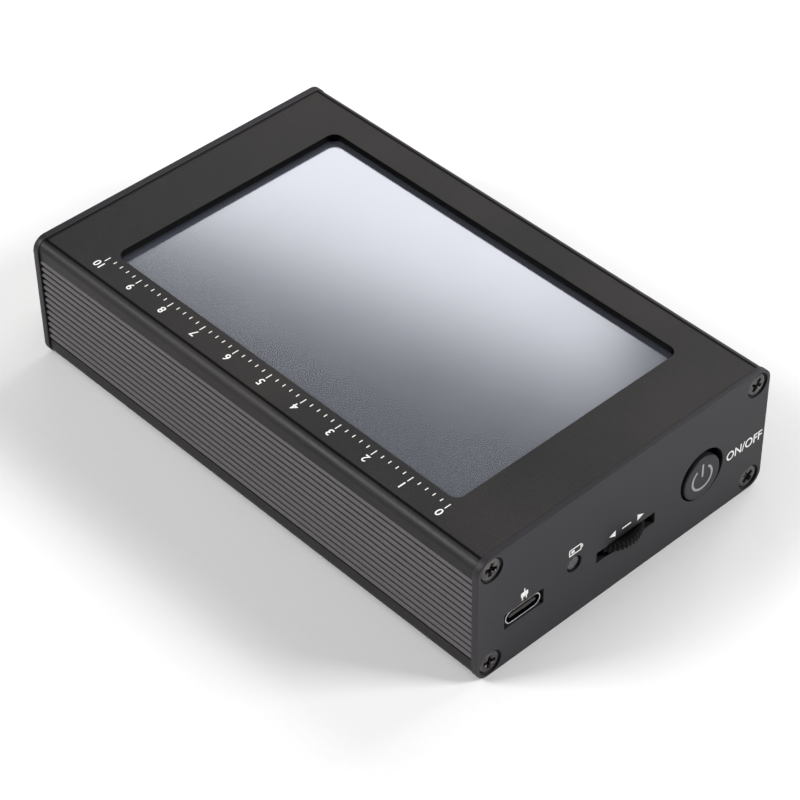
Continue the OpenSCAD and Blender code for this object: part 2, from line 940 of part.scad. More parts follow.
module mixer_chip() {
    color(chip_black)
        in_shield(1, shield_w / 8)
            flat_chip(mixer_chip_l);
}

module level_detector() {
    color(chip_black)
        in_shield(1, -shield_w / 4)
            small_chip();
}

module reference_crystal() {
    color(bright_steel)
        translate([shield_x0 - 2 * crystal_l, shield_w / 4, board_top])
            block([0, crystal_l], [0, crystal_w], [0, crystal_h]);
}

module chip_capacitors() {
    rows = [-2 : 2];
    color("#b59a6c")
        for (side = [-1, 1], s = [-1, 1], j = rows)
            in_shield(side, j * shield_w / 6)
                translate([s * shield_l / 6, 0, capacitor_w / 2])
                    cube([capacitor_l, capacitor_w, capacitor_w], center = true);
}

module power_inductor() {
    x = near_x + switch_l + 2 * inductor_l;
    color("#3a3a3c")
        translate([x, spacer_pitch_y / 2 - inductor_l, board_top])
            block([0, inductor_l], [-inductor_l / 2, inductor_l / 2], [0, inductor_h]);
}

module charger_chip() {
    color(chip_black)
        translate([usb_x0 + usb_depth + 1.4 * small_chip_l, led_y + 1.6 * small_chip_w, board_top])
            small_chip();
}

module regulator_chips() {
    color(chip_black)
        for (i = [2, 3])
            translate([header_x + pin_pitch + 1.5 * big_chip, -i * 2.4 * regulator_w, board_top])
                gull_chip(regulator_l, regulator_w, regulator_h, 3, regulator_pitch);
}

module battery_socket() {
    x = battery_socket_x;
    y = battery_socket_y;
    wall = plug_wall + pin_gap;
    color("#e9e6da")
        difference() {
            block([x, x + battery_socket_l], [y - plug_w / 2 - wall, y + plug_w / 2 + wall],
                  [board_low - plug_h - 2 * wall, board_low]);
            block([x + plug_wall, x + battery_socket_l + 1],
                  [y - plug_w / 2 - pin_gap, y + plug_w / 2 + pin_gap],
                  [plug_z - plug_h / 2 - pin_gap, plug_z + plug_h / 2 + pin_gap]);
        }
}

module battery_plug() {
    y = battery_socket_y;
    color("#e9e6da")
        block([battery_socket_x + plug_wall, battery_socket_x + battery_socket_l + plug_tail],
              [y - plug_w / 2, y + plug_w / 2], [plug_z - plug_h / 2, plug_z + plug_h / 2]);
}

module battery_leads() {
    for (s = [-1, 1])
        color(s < 0 ? "#202022" : "#a32020")
            rod_x([plug_x1, plug_x1 + lead_l], battery_socket_y + s * lead_gap, plug_z, lead_r);
}

// Protection circuit at the cell's end, wrapped in tape
module protection_strip() {
    color("#c9a63a")
        block([cell_x0 - strip_l, cell_x0], [-cell_w / 2 + strip_in, cell_w / 2 - strip_in],
              [plug_z - strip_h / 2, plug_z + strip_h / 2]);
}

module battery_pack() {
    color("#9aa0a8")
        translate([cell_x0 + cell_l / 2, 0, cell_z])
            linear_extrude(height = cell_t)
                round_rect(cell_l, cell_w, cell_corner_r);
}

module battery_tape() {
    color("#e5e1cf")
        block([cell_x0 + cell_tape_in, cell_x0 + cell_l - cell_tape_in],
              [-cell_w / 2 + cell_tape_in, cell_w / 2 - cell_tape_in], [floor_z, cell_z]);
}

module insulating_sheet() {
    color(amber_film)
        block([cell_x0 - sheet_margin, cell_x0 + cell_l + sheet_margin],
              [-cell_w / 2 - sheet_margin, cell_w / 2 + sheet_margin],
              [board_low - sheet_t, board_low]);
}

// Outline of the charge socket, with round ends
module usb_outline(w, h) {
    square([w - h, h], center = true);
    for (s = [-1, 1])
        translate([s * (w - h) / 2, 0])
            circle(h / 2);
}

module usb_shell() {
    color(bright_steel)
        along_x([usb_x0, usb_x0 + usb_depth])
            translate([usb_y, usb_z])
                difference() {
                    usb_outline(usb_w, usb_h);
                    usb_outline(usb_w - 2 * usb_shell_t, usb_h - 2 * usb_shell_t);
                }
}

module usb_tongue() {
    root_w = usb_w - 2 * usb_shell_t - 2 * seat_gap;
    root_h = usb_h - 2 * usb_shell_t - 2 * seat_gap;
    color("#1d1d1f") {
        block([tongue_x0, tongue_root_x], [usb_y - tongue_w / 2, usb_y + tongue_w / 2],
              [usb_z - tongue_t / 2, usb_z + tongue_t / 2]);
        along_x([tongue_root_x, usb_x0 + usb_depth])
            translate([usb_y, usb_z])
                usb_outline(root_w, root_h);
    }
}

module usb_contacts() {
    color(gold)
        for (s = [-1, 1], i = [0 : 11])
            translate([tongue_x0 + contact_l / 2 + contact_w, usb_y + (i - 5.5) * contact_pitch,
                       usb_z + s * (tongue_t + contact_t) / 2])
                cube([contact_l, contact_w, contact_t], center = true);
}

module charge_led() {
    flange_x = led_x0 + led_l;
    color("#b9bcbe") {
        translate([led_x0 + led_r, led_y, led_z])
            sphere(led_r);
        rod_x([led_x0 + led_r, flange_x + led_flange_t], led_y, led_z, led_r);
        rod_x([flange_x, flange_x + led_flange_t], led_y, led_z, led_flange_r);
    }
}

module led_holder() {
    x0 = led_x0 + led_l + led_flange_t;
    color("#1c1c1e")
        block([x0, x0 + holder_l], [led_y - holder_w / 2, led_y + holder_w / 2],
              [board_top, led_z + holder_rise]);
}

module wheel_carrier() {
    color("#2a2a2c")
        difference() {
            union() {
                for (z = [carrier_low, carrier_high - arm_t])
                    block([wheel_x - arm_w / 2, carrier_x1], [-arm_w / 2, arm_w / 2],
                          [z, z + arm_t]);
                block([carrier_x0, carrier_x1], [-carrier_w / 2, carrier_w / 2],
                      [carrier_low, carrier_high]);
                block([carrier_x0, tail_x1], [-tail_w / 2, tail_w / 2],
                      [tail_z, tail_z + tail_h]);
            }
            rod_z(wheel_x, 0, [carrier_low - 1, carrier_high + 1], axle_r + seat_gap);
        }
}

module wheel_axle() {
    color(bright_steel)
        rod_z(wheel_x, 0, [carrier_low, carrier_high], axle_r);
}

module thumb_wheel() {
    color("#161617")
        translate([wheel_x, 0, wheel_z])
            linear_extrude(height = wheel_t)
                difference() {
                    circle(wheel_r);
                    circle(axle_r + pin_gap);
                    for (i = [0 : wheel_teeth - 1])
                        rotate(i * 360 / wheel_teeth)
                            translate([wheel_r, 0])
                                circle(knurl_r, $fn = 16);
                }
}

module code_disc() {
    color(gold)
        translate([wheel_x, 0, wheel_top])
            difference() {
                cylinder(h = code_disc_t, r = code_disc_r);
                translate([0, 0, -1])
                    cylinder(h = code_disc_t + 2, r = axle_r + pin_gap);
            }
}

module encoder_housing() {
    half_w = tail_w / 2 + slide_gap;
    color("#2a2a2c")
        difference() {
            block([encoder_x0, encoder_x1], [-encoder_w / 2, encoder_w / 2],
                  [board_top, board_top + encoder_h]);
            block([encoder_x0 - 1, encoder_x1 + 1], [-half_w, half_w],
                  [tail_z - slide_gap, tail_z + tail_h + slide_gap]);
        }
}

module push_switch() {
    nub_x = tail_x1 + wheel_travel + push_gap;
    body_x = max(encoder_x1, nub_x) + push_gap;
    color("#3b3b3d")
        block([body_x, body_x + push_switch_l], [-push_switch_w / 2, push_switch_w / 2],
              [board_top, board_top + push_switch_h]);
    color("#d0d0cc")
        rod_x([nub_x, body_x + push_gap], 0, tail_z + tail_h / 2, push_nub_r);
}

module power_switch_housing() {
    color("#e4e2dc")
        difference() {
            block([switch_x0, switch_x0 + switch_l],
                  [button_y - switch_w / 2, button_y + switch_w / 2],
                  [board_top, board_top + switch_w]);
            rod_x([switch_x0 - 1, switch_x0 + stem_depth + button_travel + switch_gap],
                  button_y, button_z, stem_r + stem_gap);
        }
}

module power_switch_plunger() {
    color("#f0efe8")
        rod_x([cap_x1 - stem_socket, switch_x0 + stem_depth], button_y, button_z, stem_r);
}

module power_button() {
    color(plate_metal)
        difference() {
            rod_x([near_x - button_proud, cap_x1], button_y, button_z, button_r);
            rod_x([cap_x1 - stem_socket, cap_x1 + 1], button_y, button_z, stem_r + seat_gap);
        }
}

module jack_bodies() {
    end_x = far_x + jack_reach;
    flange_x = far_in_x - jack_flange_t;
    leg_x = [flange_x - jack_leg_l, far_in_x];
    color(gold)
        at_jacks()
            difference() {
                union() {
                    block([flange_x, far_in_x], [-jack_r, jack_r], [jack_z - jack_r, jack_z + jack_r]);
                    rod_x([flange_x, end_x], 0, jack_z, jack_r);
                    for (s = [-1, 1], z = [board_top + seat_gap, board_low - jack_leg_t - seat_gap])
                        translate([0, s * jack_leg_y, z])
                            block(leg_x, [-jack_leg_w / 2, jack_leg_w / 2], [0, jack_leg_t]);
                }
                rod_x([flange_x - 1, end_x + 1], 0, jack_z, jack_insulator_r + seat_gap);
                difference() {
                    rod_x([jack_seat_x, jack_seat_x + jack_groove_w], 0, jack_z, jack_r + 1);
                    rod_x([jack_seat_x - 1, jack_seat_x + 1], 0, jack_z,
                          jack_r - jack_groove_depth);
                }
            }
}

module jack_insulators() {
    x = [far_in_x - jack_flange_t, far_x + jack_reach - jack_mouth];
    color("#f2f2ee")
        at_jacks()
            difference() {
                rod_x(x, 0, jack_z, jack_insulator_r);
                rod_x([x[0] - 1, x[1] + 1], 0, jack_z, jack_contact_r + seat_gap);
            }
}

module jack_contacts() {
    x0 = far_in_x - jack_flange_t;
    x1 = far_x + jack_reach - jack_mouth;
    color(gold)
        at_jacks()
            difference() {
                union() {
                    rod_x([x0, x1], 0, jack_z, jack_contact_r);
                    rod_x([x0 - jack_pin_l, x1], 0, jack_z, jack_pin_r);
                }
                rod_x([x1 - jack_socket_l, x1 + 1], 0, jack_z, jack_socket_r);
            }
}

module jack_washers() {
    color(gold)
        at_jacks()
            difference() {
                rod_x([far_x, far_x + jack_washer_t], 0, jack_z, jack_washer_r);
                rod_x([far_x - 1, far_x + jack_washer_t + 1], 0, jack_z, jack_r + pin_gap);
            }
}

module jack_nuts() {
    x0 = far_x + jack_washer_t;
    color(gold)
        at_jacks()
            difference() {
                translate([x0, 0, jack_z])
                    rotate([0, 90, 0])
                        cylinder(h = jack_nut_t, r = jack_nut_af / sqrt(3), $fn = 6);
                rod_x([x0 - 1, x0 + jack_nut_t + 1], 0, jack_z, jack_r + pin_gap);
            }
}

case_tube();
control_end_plate();
connector_end_plate();
control_plate_screws();
connector_plate_screws();
window_gasket();
touch_panel();
touch_tape();
lcd_frame();
lcd_glass();
backlight();
lcd_flex();
touch_flex();
foam_pads();
display_board();
lcd_connector();
touch_connector();
touch_controller();
header_plug();
header_socket();
board_spacers();
board_screws();
main_board();
controller_chip();
shield_fence();
shield_lid();
synthesizer_chips();
mixer_chip();
level_detector();
reference_crystal();
chip_capacitors();
power_inductor();
charger_chip();
regulator_chips();
battery_socket();
battery_plug();
battery_leads();
battery_pack();
protection_strip();
battery_tape();
insulating_sheet();
usb_shell();
usb_tongue();
usb_contacts();
charge_led();
led_holder();
encoder_housing();
wheel_carrier();
wheel_axle();
thumb_wheel();
code_disc();
push_switch();
power_switch_housing();
power_switch_plunger();
power_button();
jack_bodies();
jack_insulators();
jack_contacts();
jack_washers();
jack_nuts();
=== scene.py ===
"""Looks of a pocket radio test instrument in a ribbed aluminium tube case.

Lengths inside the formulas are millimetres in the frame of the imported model; make_piece and placed
turn them to metres. +X points at the coaxial jacks, +Z up through the screen.
"""
import json
from math import cos, pi, radians, sin

import bmesh
import bpy
import numpy as np
from bpy.props import FloatProperty, FloatVectorProperty, IntProperty, PointerProperty
from mathutils import Euler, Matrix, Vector
from mathutils.geometry import tessellate_polygon


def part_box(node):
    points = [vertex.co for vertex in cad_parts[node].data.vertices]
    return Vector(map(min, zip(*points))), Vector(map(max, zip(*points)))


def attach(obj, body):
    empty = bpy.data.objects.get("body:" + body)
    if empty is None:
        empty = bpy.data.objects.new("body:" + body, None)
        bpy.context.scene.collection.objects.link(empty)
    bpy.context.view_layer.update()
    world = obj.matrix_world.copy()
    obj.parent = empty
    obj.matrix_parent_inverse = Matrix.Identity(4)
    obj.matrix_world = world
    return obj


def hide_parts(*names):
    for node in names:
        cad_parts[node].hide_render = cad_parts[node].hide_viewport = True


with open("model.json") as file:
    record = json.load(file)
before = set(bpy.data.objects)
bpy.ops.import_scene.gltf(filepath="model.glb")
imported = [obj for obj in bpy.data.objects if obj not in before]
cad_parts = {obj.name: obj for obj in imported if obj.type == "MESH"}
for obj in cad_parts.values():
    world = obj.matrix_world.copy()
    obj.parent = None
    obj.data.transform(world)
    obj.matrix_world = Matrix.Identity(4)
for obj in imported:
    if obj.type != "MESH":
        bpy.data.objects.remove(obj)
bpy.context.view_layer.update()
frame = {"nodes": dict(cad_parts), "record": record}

MM = 0.001

# Fixed sizes in millimetres that several pieces share
COUNTERSINK_R = 2.75  # radius of the screws' packed heads and of their countersinks
WASHER_R = 4.6  # outer radius of the jacks' washers

# Specular level of the tube's blasted faces and of its painted black shade, and that painted shade's black
BLASTED_GLOSS, PAINTED_SHADE_GLOSS = 0.43, 0.03
PAINTED_SHADE_BLACK = "#020202"

# Pattern in every finish: share of the fine noise, and the range of both noises that is spread out
FINE_SHARE = 0.6
NOISE_RANGE = {"From Min": 0.6, "From Max": 1.0}

# Text: the built-in font's capitals are this share of its size; thickness before it is squeezed to the ink
CAPITAL_SHARE = 0.7
TEXT_THICKNESS = 1.0

# Camera solved from the photograph: place in metres, turn in degrees, lens and sensor in millimetres
CAMERA_PLACE = (-0.29627, 0.26872, 0.36225)
CAMERA_TURN = (47.93743859, 0.52770166, -133.25695941)
CAMERA_LENS, SENSOR_WIDTH = 122.10, 36
NEAREST_SEEN = 0.01

# Floor: how far it reaches in metres, its clumps of fibres in millimetres, and its two tones
FLOOR_REACH = 3
PAPER_CLUMPS = 1.111
PAPER_TONES = ("#f5f5f5", "#f8f8f8")

# White light from all round, and the lamps: name, place, target, size (all in metres), watts, and a
# height where it isn't square. The window lamp is the one that the screen mirrors.
WORLD_STRENGTH = 0.1
LAMPS = (
    ("window_light", (0.591, -0.44, 0.48), (0.434, 0.123, 0.48), 0.46, 0.89, 0.24),
    ("key_light", (-0.765, -0.615, 0.69), (0, 0, 0), 0.36, 9.2, None),
    ("edge_light", (0.475, 0.7, 0.71), (0, 0, 0.02), 0.4, 7.3, None),
    ("side_light", (0.1, -1.1, 0.8), (0, 0, 0), 0.7, 7.0, None),
    ("top_fill", (0.1, 0.4, 1.32), (0, 0, 0), 1.0, 3.2, None),
)

bl_info = {
    "name": "Handheld spectrum analyzer",
    "version": (1, 0, 0),
    "blender": (4, 5, 0),
    "location": "View3D > Sidebar > Analyzer",
    "description": "Builds a pocket radio test instrument around its packed frame",
    "category": "Add Mesh",
}


def linear(code):
    """Linear light of an sRGB hex colour."""
    c = np.array([int(code[i:i + 2], 16) for i in (1, 3, 5)]) / 255
    return tuple(float(v) for v in np.where(c <= 0.04045, c / 12.92, ((c + 0.055) / 1.055) ** 2.4))


def length(name, text, value, low=0.0):
    """Length property in metres from a value in millimetres."""
    return FloatProperty(name=name, description=text, default=value * MM, min=low * MM, unit="LENGTH")


def colour(name, text, code):
    """Colour property from an sRGB hex colour."""
    return FloatVectorProperty(name=name, description=text, default=linear(code), size=3, min=0, max=1,
                               subtype="COLOR")


class AnalyzerCaseSizes(bpy.types.PropertyGroup):
    """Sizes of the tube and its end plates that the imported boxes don't give."""
    wall: length("Wall", "Wall thickness of the tube", 1.4, 0.8)
    edge_radius: length("Edge radius", "Outer radius of the tube's long edges", 2.0, 0.3)
    rib_count: IntProperty(name="Ribs", description="Ribs on each long side", default=13, min=1, max=16)
    rib_pitch: length("Rib pitch", "Distance from one rib to the next", 1.578, 0.8)
    rib_width: length("Rib width", "Width of a rib at its foot", 1.16, 0.4)
    groove_depth: length("Groove depth", "Depth of the grooves between the ribs", 0.5, 0.1)
    window_length: length("Window length", "Length of the screen window", 95.3, 40)
    window_width: length("Window width", "Width of the screen window", 57.5, 30)
    window_radius: length("Window radius", "Corner radius of the window", 2.0, 0.2)
    plate_radius: length("Plate radius", "Corner radius of the end plates", 3.0, 0.5)
    softening: length("Edge softening", "Radius of the broken edges of the plates", 0.12, 0.02)


class AnalyzerControlSizes(bpy.types.PropertyGroup):
    """Sizes of the controls and of the marks printed beside them."""
    knurl_count: IntProperty(name="Knurl grooves", description="Grooves around the wheel", default=50,
                             min=12, max=60)
    knurl_depth: length("Knurl depth", "Depth of a knurl groove", 0.3, 0.05)
    cap_softening: length("Cap softening", "Radius of the power cap's front edge", 0.35, 0.05)
    sign_stroke: length("Sign stroke", "Line width of the power sign", 0.5, 0.1)
    letter_height: length("Letter height", "Height of the capitals beside the power cap", 2.15, 0.8)
    scale_letter: length("Figure height", "Height of the figures along the screen", 1.75, 0.8)
    ink: length("Ink", "Thickness of the printed ink", 0.02, 0.005)
    cross_width: length("Cross width", "Width of a screw's cross recess", 1.0, 0.3)


class AnalyzerJackSizes(bpy.types.PropertyGroup):
    """Sizes of the coaxial jacks' threads."""
    pitch: length("Thread pitch", "Pitch of a jack's outer thread", 0.7056, 0.3)
    depth: length("Thread depth", "Depth of a jack's outer thread", 0.38, 0.1)


class AnalyzerColours(bpy.types.PropertyGroup):
    """Colours of the visible finishes."""
    tube: colour("Tube", "Black anodising of the tube", "#0c0b0c")
    plate: colour("Plates", "Dark anodising of the end plates", "#1a181c")
    screws: colour("Screws", "Black zinc of the screws", "#3e3c3c")
    glass: colour("Touch panel", "Touch panel over the unlit display", "#4a4d57")
    print: colour("Print", "Printed marks", "#f1f0ed")
    sign: colour("Power sign", "Lightened sign on the power cap", "#9d9b9d")


def sizes():
    """The scene's four groups of properties."""
    scene = bpy.context.scene
    return scene.analyzer_case, scene.analyzer_controls, scene.analyzer_jacks, scene.analyzer_colours


def mm(value):
    """Millimetres of a property in metres."""
    return value / MM


def span(node):
    """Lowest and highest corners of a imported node, in millimetres."""
    low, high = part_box(node)
    return np.array(low) / MM, np.array(high) / MM


def middle_yz(low, high):
    """Middle (y, z) of a box."""
    return (low[1] + high[1]) / 2, (low[2] + high[2]) / 2


def screw_axes():
    """How far the screws' axes stand from the middle plane, and how high the upper ones are, in mm."""
    return span("control_plate_screws")[1][1:] - COUNTERSINK_R


# Surfaces: loops are (n, 2) or (n, 3) points, grids (rows, n, 3), patches pairs of points and faces

def patch(points, wrap_rows=False, wrap_columns=False):
    """Quads between the neighbours of a grid of points; a wrapped grid's last row meets its first."""
    rows, columns = points.shape[:2]
    i = np.arange(rows if wrap_rows else rows - 1)[:, None]
    j = np.arange(columns if wrap_columns else columns - 1)[None, :]
    i1, j1 = (i + 1) % rows, (j + 1) % columns
    corners = np.broadcast_arrays(i * columns + j, i1 * columns + j, i1 * columns + j1, i * columns + j1)
    return points.reshape(-1, 3), np.stack(corners, -1).reshape(-1, 4)


def flat_fill(loops):
    """Triangles that fill a flat outline and leave its holes open; the first loop is the outline."""
    clean = [p[np.linalg.norm(p - np.roll(p, 1, 0), axis=1) > 1e-6] for p in loops]
    triangles = tessellate_polygon([[Vector(v) for v in p] for p in clean])
    return np.concatenate(clean), np.array(triangles)


def rounded_loop(w, h, r, n=48):
    """Rounded rectangle, anticlockwise: four quarter arcs of n/4 points, about centres r inside."""
    r = min(r, w / 2, h / 2)
    a = np.linspace(0, pi / 2, n // 4)[None, :] + np.arange(4)[:, None] * pi / 2
    cx = np.array([1, -1, -1, 1])[:, None] * (w / 2 - r)
    cy = np.array([1, 1, -1, -1])[:, None] * (h / 2 - r)
    return np.stack([cx + r * np.cos(a), cy + r * np.sin(a)], -1).reshape(-1, 2)


def lay(axis, levels, loops, centre):
    """Grid of plane loops (rows, n, 2) put at their levels along an axis, about a centre in the plane."""
    grid = np.empty(loops.shape[:2] + (3,))
    grid[..., axis] = np.asarray(levels, float)[:, None]
    grid[..., (axis + 1) % 3] = loops[..., 0] + centre[0]
    grid[..., (axis + 2) % 3] = loops[..., 1] + centre[1]
    return grid


def soft_rows(x0, x1, s0, s1, hold=0.05):
    """Levels and insets of a wall from x0 to x1 whose two rims are quarter arcs of radii s0 and s1.

    A holding row just inside each rim keeps the flat face's shading flat.
    """
    way = np.sign(x1 - x0)
    t = np.linspace(0, pi / 2, 4)
    first = np.stack([x0 + way * s0 * (1 - np.cos(t)), s0 * (1 - np.sin(t))])
    last = np.stack([x1 - way * s1 * (1 - np.sin(t)), s1 * (1 - np.cos(t))])
    rows = np.concatenate([[[x0], [s0 + hold]], first, last, [[x1], [s1 + hold]]], 1)
    return rows[0], rows[1]


def wall(axis, centre, w, h, r, levels, insets, n=48):
    """Grid of rounded rectangles whose sides move in by their insets from level to level."""
    loops = np.stack([rounded_loop(w - 2 * i, h - 2 * i, max(r - i, 0.01), n) for i in insets])
    return lay(axis, levels, loops, centre)


def soft_block(axis, centre, w, h, r, x0, x1, s0=0.1, s1=0.1, n=24):
    """Closed block: a rounded rectangle carried along an axis, its rims broken by quarter arcs."""
    grid = wall(axis, centre, w, h, r, *soft_rows(x0, x1, s0, s1), n=n)
    return [patch(grid, wrap_columns=True), flat_fill([grid[0]]), flat_fill([grid[-1]])]


def turned(axis, centre, profile, n=48, closed=False):
    """Surface of revolution: profile points (level, radius) swept round an axis through the centre."""
    a = np.linspace(0, 2 * pi, n, endpoint=False)
    circle = np.stack([np.cos(a), np.sin(a)], -1)
    profile = np.asarray(profile, float)
    grid = lay(axis, profile[:, 0], profile[:, 1][:, None, None] * circle, centre)
    return patch(grid, wrap_rows=closed, wrap_columns=True)


def stroke(points, width):
    """Closed outline of a line of constant width with round ends, carried along plane points."""
    d = np.gradient(points, axis=0)
    d /= np.linalg.norm(d, axis=1)[:, None]
    side = np.stack([-d[:, 1], d[:, 0]], -1) * width / 2
    a = np.linspace(0, pi, 9)[1:-1, None]
    end = points[-1] + side[-1] * np.cos(a) + d[-1] * width / 2 * np.sin(a)
    start = points[0] - side[0] * np.cos(a) - d[0] * width / 2 * np.sin(a)
    return np.concatenate([points + side, end, (points - side)[::-1], start])


def stamp(axis, level, height, shapes):
    """Thin closed prints: flat outlines (u, v), each with its holes, raised from a level by a height."""
    parts = []
    for loops in shapes:
        for z in (level, level + height):
            parts.append(flat_fill([lay(axis, [z], p[None], (0, 0))[0] for p in loops]))
        for p in loops:
            p = p[np.linalg.norm(p - np.roll(p, 1, 0), axis=1) > 1e-6]
            parts.append(patch(lay(axis, [level, level + height], np.stack([p, p]), (0, 0)),
                               wrap_columns=True))
    return parts


def make_piece(name, parts, body, slot, nodes=(), sharp=38):
    """Joins patches in millimetres into one closed mesh object that rides on a body.

    Doubles are merged and the closed shell's faces are turned outward; edges over the sharp angle
    stay crisp.
    """
    points = np.concatenate([p for p, f in parts]) * MM
    starts = np.cumsum([0] + [len(p) for p, f in parts])
    faces = [f + s for (p, f), s in zip(parts, starts)]
    counts = np.concatenate([np.full(len(f), f.shape[1]) for f in faces])
    corners = np.concatenate([f.ravel() for f in faces])
    mesh = bpy.data.meshes.new(name)
    mesh.vertices.add(len(points))
    mesh.vertices.foreach_set("co", points.ravel())
    mesh.loops.add(len(corners))
    mesh.loops.foreach_set("vertex_index", corners)
    mesh.polygons.add(len(counts))
    mesh.polygons.foreach_set("loop_start", np.cumsum(counts) - counts)
    mesh.polygons.foreach_set("loop_total", counts)
    mesh.update(calc_edges=True)
    return finish_piece(name, mesh, body, slot, nodes, sharp)


def finish_piece(name, mesh, body, slot, nodes=(), sharp=38):
    """Merges a mesh's doubles, turns its faces outward, gives it its finish and lets it ride."""
    shell = bmesh.new()
    shell.from_mesh(mesh)
    bmesh.ops.remove_doubles(shell, verts=shell.verts, dist=2e-7)
    bmesh.ops.dissolve_degenerate(shell, edges=shell.edges, dist=1e-8)
    bmesh.ops.recalc_face_normals(shell, faces=shell.faces)
    shell.to_mesh(mesh)
    shell.free()
    mesh.shade_smooth()
    mesh.set_sharp_from_angle(angle=radians(sharp))
    piece = bpy.data.objects.new(name, mesh)
    bpy.context.scene.collection.objects.link(piece)
    mesh.materials.append(finish(slot))
    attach(piece, body)
    if nodes:
        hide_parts(*nodes)
    return piece


# Materials

# Sockets of a mix node for its two colours and its result
COLOUR_A, COLOUR_B, COLOUR_OUT = 6, 7, 2


def add(tree, kind, settings=None, inputs=None):
    """Adds one node, sets its settings, and gives its inputs values or links."""
    new = tree.nodes.new(kind)
    for key, value in (settings or {}).items():
        setattr(new, key, value)
    for key, value in (inputs or {}).items():
        if isinstance(value, bpy.types.NodeSocket):
            tree.links.new(value, new.inputs[key])
        else:
            new.inputs[key].default_value = value
    return new
